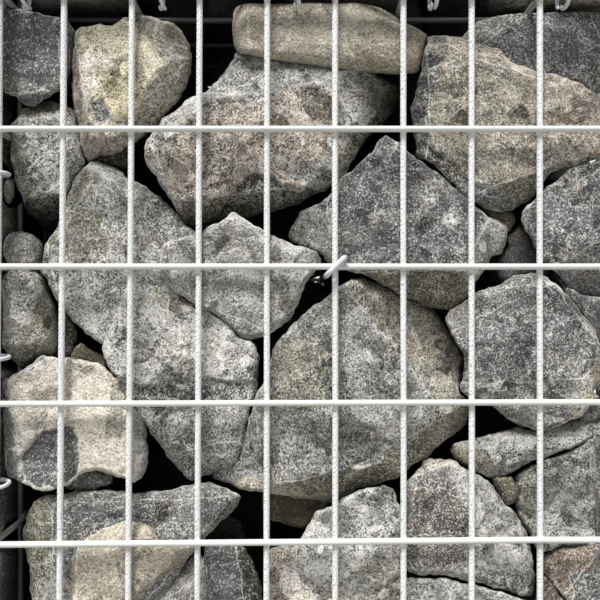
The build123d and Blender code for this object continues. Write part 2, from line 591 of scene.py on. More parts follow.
def makeSidePanel(seam, course):
    look = weldedMesh
    facing, weldX = seams[seam]
    z0 = courses[course] + look["edgeGap"]
    z1 = z0 + look["span"]
    gap = facing * (look["radius"] - look["sink"])
    deep = look["halfDepth"]
    ys, zs = np.array(depthWires), np.array(crosswires[course])
    up = wireRuns(placesAt(weldX - gap, ys, z0), placesAt(weldX - gap, ys, z1), look["rings"])
    cross = wireRuns(placesAt(weldX + gap, -deep, zs), placesAt(weldX + gap, deep, zs), look["rings"])
    swayWires(up, 1, 2, look["sideSway"][0])
    swayWires(cross, 2, 1, look["sideSway"][1])
    spots = placesAt(weldX, *crossings(ys, zs))
    zinc = [zincDullShaded, zincDullShaded] if seam == "partition" else brightZinc
    node = f"{seam}_mesh_{course}"
    makePanel(f"{seam}Wires_{course}", node, (up, cross), spots, 0, zinc, look["sides"])


def makeLevelPanel(level, bay):
    look = weldedMesh
    name, weldZ = levels[level]
    node = f"{level}_{bay}"
    low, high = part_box(node)
    within = [bays[bay] + place for place in innerPlaces]
    xs = np.array([low.x + look["radius"]] + within + [high.x - look["radius"]])
    ys = np.array(depthWires)
    gap = look["radius"] - look["sink"]
    deep = look["halfDepth"]
    short = wireRuns(placesAt(xs, -deep, weldZ - gap), placesAt(xs, deep, weldZ - gap), look["rings"])
    long = wireRuns(placesAt(low.x, ys, weldZ + gap), placesAt(high.x, ys, weldZ + gap), look["rings"])
    swayWires(short, 0, 1, look["levelSway"][0])
    swayWires(long, 1, 0, look["levelSway"][1])
    x, y = crossings(xs, ys)
    zinc = [zincDullShaded, zincDullShaded] if level == "base_mesh_upper" else brightZinc
    makePanel(f"{name}_{bay}", node, (short, long), placesAt(x, y, weldZ), 2, zinc, look["sides"])


for course in courses:
    for bay in bays:
        makeFacePanel(bay, course, False)
        makeFacePanel(bay, course, True)
    for seam in seams:
        makeSidePanel(seam, course)
for bay in bays:
    for level in levels:
        makeLevelPanel(level, bay)
print("welded mesh made")

# Wire rings at the seams, and spacer ties
cRing = {
    "wire": 0.00155,
    "reach": 0.0094,
    "endReach": 0.0092,  # of the rings at the wall's own edges
    "turns": 1.13,
    "sides": 8,
    "rings": 28,
    "tips": (0.3, 0.8),
    "pitch": 0.1,
    "firstCell": 0.05,
    "square": {"seam": 2.2, "top": 2.6, "end": 2.8, "edge": 5.0},  # 2 is round, and 5 is nearly square
    "jitter": {"seam": 0.014, "top": 0.015, "end": 0.012, "edge": 0.015},
    "seamX": 0.0003,
    "faceY": 0.1475,
    "endX": 0.4887,
    "endY": 0.1470575,
    "endStops": (0.052, 0.945),  # lowest and highest ring at the wall's corners
    "topSeamY": 0.1479,
    "edgeY": 0.1477,
    "edgeLevels": (0.9888, 0.0112),
    "seamLevel": 0.5002,
    "lidPlaces": [-0.097, 0.004, 0.095],
    "lastBack": 0.47,  # last ring along the back's middle seam
    "photoLevels": [0.034, 0.141, 0.234, 0.369],  # along the photographed seam
    "photoPlaces": [0.0227, 0.1228, 0.222, 0.322, 0.4177, 0.473],  # along the photographed top seam
    "photoStarts": (3.6, 4.4),
    "photoTopStarts": (4.3, 5.2),
}


# Clipped rings: once round a squared circle and a little more, climbing one wire width on the way, so that
# their pointed ends lie side by side. The circle's sine and cosine are raised to 2 / square
def addRings(heap, centres, across, up, square, reach, seed, starts=None):
    look = cRing
    rng = np.random.default_rng(seed)
    starts = rng.uniform(0, 2 * math.pi, len(centres)) if starts is None else starts
    share = np.linspace(0, 1, look["rings"])
    angle = starts[:, None] + (share * look["turns"] * 2 * math.pi)[None]
    flat = [np.sign(wave) * np.abs(wave) ** (2.0 / square) for wave in (np.cos(angle), np.sin(angle))]
    across, up = np.eye(3)[across], np.eye(3)[up]
    normal = np.cross(across, up)
    climb = normal * (2 * look["wire"] * look["turns"])
    flat = flat[0][..., None] * across + flat[1][..., None] * up
    paths = centres[:, None] + reach * flat + (share - 0.5)[None, :, None] * climb
    radii = np.full(paths.shape[:2], look["wire"])
    for place, thin in enumerate(look["tips"]):
        radii[:, [place, -1 - place]] *= thin
    heap.add(*carryWires(paths, normal, radii, look["sides"]))


# One place for each opening of the mesh, moved at random
def midCells(first, count, jitter, seed):
    rng = np.random.default_rng(seed)
    return first + cRing["pitch"] * np.arange(count) + rng.uniform(-jitter, jitter, count)


def makeRings():
    look = cRing
    heap = Heap()
    wide, square, jitter = look["endReach"], look["square"], look["jitter"]
    first = look["firstCell"]
    for side, facing in ((0, -1), (1, 1)):
        back = side == 1
        heights = midCells(first, 10, jitter["seam"], 11 + side)
        if not back:
            heights = np.concatenate([look["photoLevels"], heights[5:]])
        starts = None if back else np.random.default_rng(3).uniform(*look["photoStarts"], len(heights))
        centres = placesAt(look["seamX"], facing * look["faceY"], heights)
        addRings(heap, centres, 0, 1, square["seam"], look["reach"], 21 + side, starts)
        for end in (-1, 1):
            heights = midCells(first, 10, jitter["end"], 31 + side + end)
            heights[0], heights[-1] = look["endStops"]
            centres = placesAt(end * look["endX"], facing * look["endY"], heights)
            addRings(heap, centres, 0, 1, square["end"], wide, 41 + side + end)
        topX = np.concatenate([-midCells(first, 5, jitter["top"], 51 + side), look["photoPlaces"]])
        if back:
            topX[5:] = midCells(first, 6, jitter["seam"], 53)
            topX[-1] = look["lastBack"]
        starts = None if back else np.random.default_rng(5).uniform(*look["photoTopStarts"], len(topX))
        centres = placesAt(topX, facing * look["topSeamY"], look["seamLevel"])
        addRings(heap, centres, 1, 2, square["top"], look["reach"], 61 + side, starts)
        starts = ((first - 0.5, 71), (first, 73))
        edgeX = np.concatenate([midCells(start, 5, jitter["edge"], seed + side) for start, seed in starts])
        for level, seed in zip(look["edgeLevels"], (81, 91)):
            centres = placesAt(edgeX, facing * look["edgeY"], level)
            addRings(heap, centres, 1, 2, square["edge"], wide, seed + side)
    upper, lower = look["edgeLevels"]
    for end in (-1, 1):
        rows = ((upper, "edge", 101), (look["seamLevel"], "end", 111), (lower, "edge", 121))
        for level, kind, seed in rows:
            centres = placesAt(end * look["endX"], look["lidPlaces"], level)
            addRings(heap, centres, 0, 2, square[kind], wide, seed + end)
    heap.piece("seamRings", [tieZinc], "tie_wire")


makeRings()

spacerTie = {
    "radius": 0.0021,
    "fromSeam": 0.24393,
    "fromBottom": 0.29393,
    "hookY": 0.157,
    "hookReach": 0.01357,
    "bend": 0.0045,
    "besideBend": (1.15, 1.3),  # where hook and rod start, in bends
    "nearMiddle": 0.004,
    "points": (9, 7),  # of a hook or bend, and of half the rod
    "tips": (0.45, 0.96),
    "tipLength": 0.9,
    "sides": 14,
}


# A spacer tie: a rod through the basket whose ends turn a right angle and rise on the slant over a crossing.
# Each bend is a quarter circle between the rod's direction and the slant
def makeTies():
    look = spacerTie
    heap = Heap()
    slant = np.array([1, 0, 1]) / math.sqrt(2)
    deep = np.array([0, 1.0, 0])
    bend, hookY = look["bend"], look["hookY"]
    hookStart, rodStart = np.array(look["besideBend"]) * bend
    bendPoints, rodPoints = look["points"]
    reach = look["hookReach"] * math.sqrt(2)
    hook = np.linspace(reach, hookStart, bendPoints)[:, None] * slant - deep * hookY
    turn = np.linspace(0, math.pi / 2, bendPoints)[:, None]
    elbow = (bend - bend * np.sin(turn)) * slant + (bend - bend * np.cos(turn) - hookY) * deep
    rod = np.linspace(rodStart - hookY, -look["nearMiddle"], rodPoints)[:, None] * deep
    half = np.concatenate([hook, elbow, rod])
    path = np.concatenate([half, (half * [1, -1, 1])[::-1]])
    corners = [(bays[bay], 0, courses[course]) for course in courses for bay in bays]
    starts = np.array(corners) + [look["fromSeam"], 0, look["fromBottom"]]
    paths = starts[:, None] + path[None]
    radii = np.full(paths.shape[:2], look["radius"])
    for place, share in enumerate(look["tips"]):
        radii[:, [place, -1 - place]] *= share
    paths[:, 0] = paths[:, 1] + (paths[:, 0] - paths[:, 1]) * look["tipLength"]
    heap.add(*carryWires(paths, np.array([1, 0, -1]) / math.sqrt(2), radii, look["sides"]))
    nodes = [f"spacer_tie_{course}_{bay}" for course in courses for bay in bays]
    heap.piece("spacerTies", [tieZinc], "tie_wire", nodes)


makeTies()
print("rings and ties made")

# Stone colours, as they render
stoneTones = {
    "slate": (0.120, 0.123, 0.122),
    "grey": (0.190, 0.188, 0.179),
    "lightGrey": (0.250, 0.246, 0.232),
    "paleGrey": (0.340, 0.331, 0.307),
    "drab": (0.235, 0.210, 0.165),
    "tan": (0.345, 0.300, 0.225),
    "beige": (0.56, 0.51, 0.43),
    "brown": (0.195, 0.146, 0.108),
    "olive": (0.150, 0.135, 0.090),
    "ochre": (0.50, 0.44, 0.270),
    # painted shade, for hollows, undersides and stones deep in the gaps
    "shade": (0.065, 0.060, 0.046),
    "umber": (0.290, 0.242, 0.197),
    "straw": (0.43, 0.39, 0.27),
    "sand": (0.44, 0.39, 0.305),
    "clay": (0.405, 0.365, 0.292),
    "khaki": (0.205, 0.196, 0.150),
    "rustGrey": (0.125, 0.109, 0.097),
}
stoneSkin = {
    "gloss": 0.28,
    "noises": {  # scale, detail, roughness and distortion
        "cloud": (24, 3, 0.55, 0.6),
        "patch": (70, 3, 0.6, 0.5),
        "mottle": (250, 3, 0.65, 0.5),
        "grain": (620, 2, 0.65),
        "rust": (36, 4, 0.6, 1.0),
    },
    "specks": (1000.0, 520.0),  # cells to the metre
    "warp": {"Scale": 30.0, "Detail": 1.5},
    "warpReach": (0.024, 0.024, 0.024),
    "facets": (46.0, 118.0),
    "contrast": {  # how far each pattern lightens and darkens the tone
        "cloud": 0.55,
        "mottle": 0.70,
        "grain": 1.5,
        "crystals": 1.05,
        "coarseOnes": 0.30,
        "coarseShade": 0.34,
        "fineShade": 0.26,
    },
    "middle": 0.97,  # of the factor on the tone, with the contrast's share on plain and on flecked stone
    "plainShare": 0.35,
    "fleckedShare": 0.70,
    "darkest": 0.2,
    "rust": ((0.56, 0.72), 0.4, (0.27, 0.18, 0.11, 1)),
    "pale": (0.42, (0.84, 0.82, 0.76, 1)),
    "crowd": (0.35, 0.50, 0.35),  # everywhere, in patches, and by the shade of a facet
    "crowdEdges": (0.42, 0.62),
    "fineFlecks": (0.24, (0.86, 1.08), 0.80),  # how they crowd, their edges and their strength
    "largeFlecks": (0.10, (0.94, 1.02), 0.36),
    # Edges of the border, of the mottle and of the patches, and strength
    "veins": ((0.014, 0.003), (0.47, 0.60), (0.50, 0.62), 0.6),
    "scratches": ((0.040, 0.012), (0.50, 0.60), (0.44, 0.56), 0.6),
    "edgeStray": (1.0, 1.2),
    "rubbedEdges": (0.62, 0.12),
    "rubbed": (0.30, 0.40, 0.50),
    "rubbedPatch": (0.40, 0.60),
    "shineTop": 1.1,
    "chalk": (0.85, 0.83, 0.76, 1),
    "chalkShare": 0.9,
    "chalkMottle": (0.36, 0.54),
    "chalkCore": 0.2,
    "chalkMarks": [((451, 220), 0.0085), ((401, 358), 0.0080)],  # pixel of the photograph, and reach
    # Painted shade: the colour that the stone darkens to deep inside the baskets
    "deep": (0.004, 0.004, 0.004, 1),
    "heights": {"grain": 0.00105, "mottle": 0.0012, "patch": 0.00135},
    "leans": (0.9, 0.8),  # how far the coarse and the fine facets lean
    "bump": (1.0, 0.8),
    "roughness": (0.72, 0.2),
}


def voronoiAt(tree, place, scale, settings, pick=0):
    return Flow.make(tree, "ShaderNodeTexVoronoi", settings, {"Vector": place, "Scale": scale}, pick)


# Random values from 0 to 1, three for each cell of a space
def cellShades(tree, cell):
    return Flow.make(tree, "ShaderNodeSeparateColor", {}, {0: cell}).every()


# Cells of a space: a height that leans its own way in each cell, a shade for each cell, and the distance to
# the nearest cell border
def brokenFacets(tree, place, scale):
    cell = voronoiAt(tree, place, scale, {}, 1)
    centre = Flow(cell.socket.node.outputs["Position"])
    away = vectorCalc(tree, "SUBTRACT", place, centre)
    way = vectorCalc(tree, "SUBTRACT", cell, (0.5, 0.5, 0.5))
    lean = vectorCalc(tree, "DOT_PRODUCT", away, way, pick=1)
    border = voronoiAt(tree, place, scale, {"feature": "DISTANCE_TO_EDGE"})
    return lean, cellShades(tree, cell)[0], border


# Stone: the piece's own tone, clouded and grained, with pale specks, wisps in patches, rust and worn edges
def stoneMaterial():
    look = stoneSkin
    material, tree, skin = newMaterial("brokenStone", {"Specular IOR Level": look["gloss"]})
    place = objectPlace(tree)
    marks = [("tone", 0), ("edge", 2), ("flecks", 2)]
    tone, edge, fleckShare = [
        Flow.make(tree, "ShaderNodeAttribute", {"attribute_name": name}, {}, pick) for name, pick in marks
    ]
    parts = noisesAt(tree, place, look["noises"])
    mottle, patch, grain = parts["mottle"], parts["patch"], parts["grain"]
    fine, coarse = [cellShades(tree, voronoiAt(tree, place, scale, {}, 1)) for scale in look["specks"]]
    parts["crystals"], parts["coarseOnes"] = fine[0], coarse[0]
    brightOnes, largeOnes = fine[1], coarse[2]
    # Broken facets in two sizes: cells of a warped space, each with a lean and a shade of its own
    warp = Flow.make(tree, "ShaderNodeTexNoise", {}, {"Vector": place, **look["warp"]}, 1)
    warped = vectorCalc(tree, "MULTIPLY_ADD", warp, look["warpReach"], place)
    coarseLean, coarseShade, coarseEdge = brokenFacets(tree, warped, look["facets"][0])
    fineLean, fineShade, fineEdge = brokenFacets(tree, warped, look["facets"][1])
    parts["coarseShade"], parts["fineShade"] = coarseShade, fineShade
    # Light and dark as a factor on the tone, and rust over it
    shade = sum((parts[name] - 0.5) * share for name, share in look["contrast"].items())
    shade = look["middle"] + shade * (look["plainShare"] + fleckShare * look["fleckedShare"])
    base = mixColour(tree, 1.0, tone, shade.most(look["darkest"]), "MULTIPLY")
    edges, share, colour = look["rust"]
    base = mixColour(tree, parts["rust"].ramp(*edges) * share, base, colour)
    # Pale flecks crowd in patches, and veins, scratches and worn edges are pale as well
    everywhere, inPatches, byShade = look["crowd"]
    crowd = (everywhere + patch.ramp(*look["crowdEdges"]) * inPatches + fineShade * byShade) * fleckShare
    flecks, lines = 0.0, 0.0
    for ones, kind in ((brightOnes, "fineFlecks"), (largeOnes, "largeFlecks")):
        crowding, edges, strength = look[kind]
        flecks = (ones + crowd * crowding).ramp(*edges) * strength + flecks
    for border, kind in ((coarseEdge, "veins"), (fineEdge, "scratches")):
        edges, inMottle, inPatch, strength = look[kind]
        lines = border.ramp(*edges) * mottle.ramp(*inMottle) * patch.ramp(*inPatch) * strength + lines
    byMottle, byGrain = look["edgeStray"]
    fromEdge = (edge + (mottle - 0.5) * byMottle + (grain - 0.5) * byGrain).size()
    least, inPatches, bySpeck = look["rubbed"]
    worn = least + patch.ramp(*look["rubbedPatch"]) * inPatches + brightOnes * bySpeck
    shine = flecks + lines * fleckShare + fromEdge.ramp(*look["rubbedEdges"]) * worn
    share, colour = look["pale"]
    pale = mixColour(tree, share, colour, tone)
    base = mixColour(tree, shine.ramp(0.0, look["shineTop"]), base, pale)
    for pixel, reach in look["chalkMarks"]:
        spot = tuple(seenAt(np.array(pixel), stoneLook["front"]))
        away = vectorCalc(tree, "DISTANCE", place, spot, pick=1)
        rub = away.ramp(reach, reach * look["chalkCore"]) * mottle.ramp(*look["chalkMottle"])
        base = mixColour(tree, rub * look["chalkShare"], base, look["chalk"])
    # Painted shade: the colour darkens towards near black deep inside the baskets
    base = mixColour(tree, openness(tree, place), look["deep"], base)
    coarseShare, fineShare = look["leans"]
    height = sum(parts[name] * share for name, share in look["heights"].items())
    height = height + (coarseLean * coarseShare + fineLean * fineShare) * fleckShare
    smoothest, rougher = look["roughness"]
    feed(
        skin,
        colour=base,
        roughness=smoothest + grain * rougher,
        normal=bumpFrom(tree, height, *look["bump"]),
    )
    return material


groundWaves = {"count": 6, "stretch": (0.7, 1.4), "fade": 0.55}


# Uneven ground: waves in random directions, whose size falls and whose count of turns doubles each time
def roughness(points, rng, span, octaves):
    count = groundWaves["count"]
    total = np.zeros(points.shape[:-1])
    for octave in range(octaves):
        ways = unit(rng.normal(size=(count, 3))) * 2 * math.pi / span * 2.0**octave
        ways = ways * rng.uniform(*groundWaves["stretch"], (count, 1))
        phases = rng.uniform(0, 2 * math.pi, count)
        total += np.sin(points @ ways.T + phases).sum(-1) * groundWaves["fade"] ** octave
    return total / count


# A point seen at a pixel of the photograph, at a given depth
def seenAt(pixels, depth):
    away = (depth - viewer["place"][1]) / viewer["focalPixels"]
    middle = viewer["picturePixels"] / 2
    x = viewer["place"][0] + (pixels[..., 0] - middle) * away
    z = viewer["place"][2] - (pixels[..., 1] - middle) * away
    return np.stack([x, depth, z], -1)


ringWaves = {"lengths": [46, 27, 15, 9], "reach": [0.5, 0.5, 0.35, 0.3]}  # in pixels


# An outline as an even closed ring, with its corners rounded a little and waves of falling size along it
def roughRing(outline, count, rng, ragged):
    after = np.roll(outline, -1, 0)
    if np.sum(outline[:, 0] * after[:, 1] - after[:, 0] * outline[:, 1]) < 0:
        outline = outline[::-1]
    closed = np.vstack([outline, outline[:1]])
    length = np.concatenate([[0], np.cumsum(np.hypot(*np.diff(closed, axis=0).T))])
    places = np.linspace(0, length[-1], count, endpoint=False)
    ring = np.stack([np.interp(places, length, closed[:, side]) for side in (0, 1)], -1)
    ring = 0.5 * ring + 0.25 * (np.roll(ring, 1, 0) + np.roll(ring, -1, 0))
    along = np.roll(ring, -1, 0) - np.roll(ring, 1, 0)
    outward = unit(np.stack([along[:, 1], -along[:, 0]], -1))
    turns = np.round(length[-1] / np.array(ringWaves["lengths"]))[:, None]
    phases = rng.uniform(0, 2 * math.pi, turns.shape)
    waves = np.sin(turns * places / length[-1] * 2 * math.pi + phases)
    waves = waves * np.array(ringWaves["reach"])[:, None]
    return ring + outward * (waves.sum(0) * ragged)[:, None]


# The imported basket that the photograph shows, stone by stone. edge: outline in pixels of the photograph.
# deep: how far the front lies behind the mesh, in mm. tilt: fall to the right and upwards, mm in mm.
# bend: rounding of the rim in mm. facets: a pixel on the ridge, the way in which the facet falls back in
# degrees from the right, how steeply, and its tone. body: thickness in mm. flecks: share of white flecks.
# steps: height of broken steps in mm. patches: outline, tone, and how deep it is broken out in mm
# The tone shade is painted shade, and so are the few patches marked so below
photoStones = {
    "slateTopLeft": {
        "edge": [
            (-6, 2), (10, 8), (23, 9), (38, 13), (62, 19), (70, 22), (76, 31), (73, 54), (70, 76), (61, 88),
            (51, 96), (42, 101), (34, 108), (27, 106), (23, 102), (15, 95), (9, 96), (-6, 88),
        ],
        "deep": 7, "tone": "slate", "flecks": 0.65,
        "facets": [((60, 60), 0, 0.9, "slate"), ((30, 92), 270, 0.5, "slate")],
    },
    "strawStone": {
        "edge": [
            (76, 30), (82, 27), (102, 25), (112, 25), (122, 19), (131, 18), (138, 13), (153, 17), (170, 23),
            (184, 33), (190, 46), (192, 64), (187, 87), (178, 101), (166, 115), (157, 125), (147, 134),
            (129, 147), (120, 152), (98, 158), (94, 161), (87, 164), (83, 154), (78, 134), (75, 115),
            (72, 92), (71, 71), (72, 55), (74, 39),
        ],
        "deep": 3, "bend": 9, "tone": "straw", "flecks": 1.3, "body": 70,
        "facets": [
            ((84, 95), 190, 1.3, "umber"), ((120, 134), 275, 0.9, "umber"), ((152, 84), 325, 0.6, "drab"),
            ((152, 45), 50, 0.4, "drab"),
        ],
        "patches": [
            ([(82, 58), (108, 52), (118, 68), (112, 88), (94, 92), (84, 78)], "beige", 0.0),
            ([(100, 70), (128, 62), (146, 80), (140, 108), (114, 118), (102, 100)], "ochre", 0.0),
            ([(90, 102), (104, 100), (112, 112), (106, 124), (92, 122)], "grey", 1.6),
        ],
    },
    "shadedUnderStraw": {
        "edge": [(92, 158), (110, 148), (130, 143), (134, 158), (124, 170), (108, 166)],
        "deep": 30, "tone": "shade", "body": 40,
    },
    "facetedLeft": {
        "edge": [
            (2, 133), (11, 124), (19, 115), (24, 108), (34, 105), (51, 101), (61, 103), (73, 110),
            (77, 122), (82, 147), (84, 163), (80, 170), (72, 180), (66, 196), (61, 222), (56, 232),
            (48, 230), (38, 222), (30, 214), (23, 203), (18, 188), (12, 170), (4, 156), (1, 145),
        ],
        "deep": 12, "tone": "grey", "flecks": 1.6,
        "facets": [
            ((40, 118), 95, 0.9, "khaki"), ((31, 160), 215, 0.7, "khaki"), ((46, 192), 262, 1.5, "shade"),
            ((62, 140), 10, 0.5, "grey"),
        ],
        "patches": [
            ([(34, 172), (48, 164), (60, 172), (58, 186), (42, 192)], "paleGrey", 0.8),
        ],
    },
    "smoothBoulder": {
        "edge": [
            (238, -30), (234, 0), (232, 32), (234, 46), (238, 53), (251, 56), (265, 59), (282, 62),
            (302, 65), (321, 68), (341, 71), (360, 72), (391, 74), (408, 74), (417, 73), (423, 64),
            (426, 50), (428, 35), (415, 27), (400, 20), (385, 8), (372, -4), (362, -30), (330, -44),
            (270, -44),
        ],
        "deep": 3, "bend": 13, "tone": "clay", "flecks": 0.5, "ragged": 0.3, "body": 90, "steps": 0,
        "facets": [((385, 30), 40, 0.35, "drab"), ((330, 52), 275, 0.25, "tan")],
    },
    "largeBrown": {
        "edge": [
            (235, 52), (251, 55), (265, 58), (282, 61), (302, 64), (321, 67), (333, 69), (345, 70),
            (353, 68), (368, 71), (382, 78), (396, 85), (402, 93), (398, 106), (386, 120), (372, 134),
            (359, 148), (350, 166), (345, 176), (330, 187), (315, 195), (300, 203), (275, 211), (250, 217),
            (225, 223), (205, 228), (187, 227), (182, 222), (178, 211), (171, 200), (158, 181), (147, 164),
            (143, 150), (147, 139), (157, 128), (163, 119), (178, 108), (191, 97), (200, 94), (208, 91),
            (214, 82), (224, 74), (231, 64),
        ],
        "deep": 6, "tilt": (0.03, 0.02), "tone": "umber", "flecks": 1.6, "body": 80,
        "facets": [
            ((262, 92), 98, 0.32, "grey"), ((338, 96), 8, 0.5, "paleGrey"), ((384, 96), 330, 1.3, "grey"),
            ((300, 186), 278, 1.4, "olive"), ((192, 112), 130, 0.5, "paleGrey"),
            ((182, 196), 225, 0.5, "grey"), ((346, 140), 350, 1.2, "olive"),
        ],
        "patches": [
            # A hollow broken out 5 mm, its tone painted shade
            ([(203, 229), (222, 206), (243, 178), (256, 172), (266, 173), (282, 184), (298, 190),
              (318, 181), (341, 166), (350, 166), (345, 180), (315, 200), (275, 216),
              (225, 228)], "shade", 5.0),
            ([(206, 96), (234, 66), (250, 54), (300, 60), (340, 68), (318, 82), (290, 86), (272, 97),
              (255, 101), (238, 92), (220, 94)], "grey", 0.8),
            ([(342, 74), (357, 71), (372, 76), (383, 88), (378, 108), (366, 126), (354, 120),
              (344, 106)], "paleGrey", 0.7),
            ([(288, 178), (298, 166), (318, 158), (344, 158), (350, 164), (338, 180),
              (318, 190)], "grey", 0.9),
        ],
    },
    "tanRight": {
        "edge": [
            (428, 37), (438, 36), (451, 36), (464, 38), (470, 42), (482, 46), (489, 48), (499, 47),
            (505, 56), (511, 62), (521, 66), (534, 71), (547, 73), (557, 74), (570, 80), (585, 86),
            (600, 96), (616, 108), (622, 128), (612, 148), (600, 158), (589, 162), (566, 168), (550, 173),
            (541, 184), (530, 200), (515, 209), (501, 212), (489, 210), (475, 203), (464, 196), (458, 188),
            (447, 178), (436, 167), (425, 158), (418, 157), (413, 127), (411, 108), (416, 89), (422, 69),
            (424, 51),
        ],
        "deep": 2, "tone": "drab", "flecks": 1.0, "body": 80,
        "facets": [
            ((428, 100), 180, 1.5, "shade"), ((562, 120), 10, 0.22, "umber"),
            ((450, 43), 95, 0.9, "paleGrey"), ((566, 160), 290, 0.8, "olive"),
            ((545, 82), 70, 0.5, "umber"),
        ],
        "patches": [
            # Tone only, no drop: painted shade in the hollow at the left
            ([(424, 44), (437, 56), (440, 74), (436, 88), (424, 104), (416, 112), (408, 112),
              (416, 60)], "slate", 0.0),
            ([(412, 108), (426, 116), (428, 142), (440, 152), (456, 164), (464, 178), (480, 184),
              (500, 190), (514, 200), (512, 216), (470, 206), (434, 176), (412, 152)], "slate", 2.5),
            # Tone only: painted shadow under the overhang
            ([(425, 148), (440, 153), (455, 164), (464, 178), (460, 190), (447, 178), (436, 167),
              (424, 158)], "shade", 0.0),
        ],
    },
    "slateTopRight": {
        "edge": [
            (461, 37), (466, 31), (476, 23), (489, 18), (497, 14), (508, 9), (527, 12), (547, 11), (560, 9),
            (579, 6), (591, 2), (602, -2), (640, -12), (656, 0), (656, 60), (640, 100), (600, 104),
            (570, 90), (540, 82), (505, 68), (480, 56), (466, 46),
        ],
        "deep": 17, "tone": "slate", "flecks": 0.9, "body": 60,
        "facets": [((510, 25), 120, 0.5, "grey"), ((600, 40), 20, 0.2, "slate")],
    },
    "bigWedge": {
        "edge": [
            (386, 134), (391, 138), (400, 145), (423, 163), (437, 173), (451, 182), (466, 196), (474, 206),
            (489, 217), (508, 231), (507, 240), (502, 254), (492, 256), (487, 264), (476, 284), (467, 298),
            (459, 306), (448, 311), (432, 308), (416, 301), (400, 295), (389, 288), (378, 281), (366, 276),
            (350, 271), (339, 270), (332, 267), (322, 256), (308, 248), (290, 241), (288, 232), (297, 218),
            (302, 211), (325, 200), (335, 189), (341, 178), (354, 168), (366, 158), (374, 150), (380, 139),
        ],
        "deep": 4, "tone": "slate", "flecks": 1.0, "body": 75,
        "facets": [
            ((328, 225), 178, 0.6, "grey"), ((480, 235), 335, 0.6, "paleGrey"),
            ((430, 270), 272, 0.7, "olive"), ((304, 236), 225, 1.2, "slate"),
        ],
    },
    "rightGrey": {
        "edge": [
            (521, 211), (528, 205), (536, 199), (544, 190), (553, 184), (566, 171), (575, 166), (589, 163),
            (600, 161), (620, 158), (645, 170), (656, 200), (656, 250), (648, 285), (625, 302), (600, 300),
            (591, 299), (582, 295), (567, 288), (557, 273), (545, 263), (535, 247), (528, 233), (522, 222),
        ],
        "deep": 5, "tone": "slate", "flecks": 1.15,
        "facets": [((582, 250), 300, 0.55, "slate"), ((530, 212), 170, 0.8, "grey")],
    },
    "leftApex": {
        "edge": [
            (94, 160), (89, 162), (82, 169), (72, 178), (67, 190), (63, 208), (60, 222), (56, 230),
            (47, 239), (45, 251), (40, 264), (38, 271), (45, 277), (51, 289), (59, 302), (68, 313),
            (78, 325), (88, 334), (101, 345), (120, 345), (140, 325), (160, 300), (190, 290), (210, 262),
            (200, 232), (187, 227), (182, 222), (176, 211), (163, 200), (152, 192), (141, 184), (129, 178),
            (115, 168), (101, 162),
        ],
        "deep": 9, "tone": "lightGrey", "flecks": 1.2, "body": 60,
        "facets": [
            ((100, 178), 75, 0.8, "paleGrey"), ((52, 262), 190, 0.8, "grey"), ((72, 215), 150, 0.5, "khaki"),
            ((142, 215), 40, 0.45, "grey"),
        ],
        "patches": [
            ([(66, 208), (82, 200), (98, 214), (108, 236), (112, 256), (92, 266), (66, 262),
              (58, 236)], "khaki", 0.9),
        ],
    },
    "longGrey": {
        "edge": [
            (133, 270), (150, 276), (165, 285), (185, 298), (204, 308), (215, 315), (226, 322), (236, 331),
            (240, 338), (250, 340), (256, 347), (259, 355), (259, 372), (256, 391), (251, 407), (248, 419),
            (244, 438), (242, 451), (234, 469), (230, 471), (219, 472), (203, 476), (196, 482), (190, 480),
            (179, 469), (166, 455), (157, 440), (144, 422), (135, 410), (125, 398), (115, 377), (107, 364),
            (102, 350), (108, 330), (120, 300),
        ],
        "deep": 5, "tone": "paleGrey", "flecks": 1.5, "body": 75,
        "facets": [
            ((180, 452), 280, 0.5, "slate"), ((160, 300), 75, 0.3, "khaki"), ((247, 400), 350, 0.9, "grey"),
        ],
        "patches": [
            ([(118, 392), (146, 385), (172, 380), (205, 379), (262, 382), (262, 420), (230, 484),
              (180, 484), (130, 420)], "grey", 2.2),
            # Tone only: painted shadow in the dark band under the ledge
            ([(132, 402), (146, 388), (172, 384), (205, 383), (262, 386), (256, 402),
              (200, 404)], "slate", 0.0),
        ],
    },
    "pentagon": {
        "edge": [
            (200, 234), (185, 237), (170, 241), (162, 247), (159, 261), (160, 275), (170, 287), (184, 298),
            (200, 307), (216, 315), (226, 322), (237, 333), (245, 339), (255, 340), (264, 336), (275, 330),
            (288, 322), (294, 313), (299, 302), (301, 292), (306, 284), (313, 275), (322, 261), (318, 253),
            (306, 247), (287, 243), (276, 237), (264, 230), (251, 224), (242, 218), (231, 211), (224, 219),
            (219, 223), (204, 229),
        ],
        "deep": 0, "tone": "lightGrey", "flecks": 1.05, "body": 45,
        "facets": [
            ((298, 285), 330, 0.8, "paleGrey"), ((215, 310), 250, 0.3, "grey"),
            ((170, 262), 185, 0.5, "grey"), ((290, 252), 60, 0.4, "paleGrey"),
        ],
    },
    "cobbleLeft": {
        "edge": [
            (-8, 262), (10, 260), (30, 264), (40, 272), (47, 283), (51, 296), (56, 308), (60, 321),
            (60, 340), (56, 354), (44, 360), (32, 365), (20, 369), (8, 360), (-8, 352),
        ],
        "deep": 4, "bend": 20, "tone": "paleGrey", "flecks": 1.4, "ragged": 0.3, "steps": 0, "body": 60,
        "facets": [((30, 310), 350, 0.5, "khaki"), ((20, 345), 280, 0.8, "drab")],
    },
    "cobbleAbove": {
        "edge": [
            (-8, 240), (0, 237), (10, 233), (22, 231), (33, 234), (43, 243), (43, 256), (40, 266),
            (30, 274), (10, 276), (-8, 274),
        ],
        "deep": 9, "bend": 11, "tone": "grey", "flecks": 0.7, "ragged": 0.3, "steps": 0, "body": 50,
    },
    "littleCobble": {
        "edge": [(-8, 174), (5, 175), (12, 182), (14, 192), (10, 203), (-8, 209)],
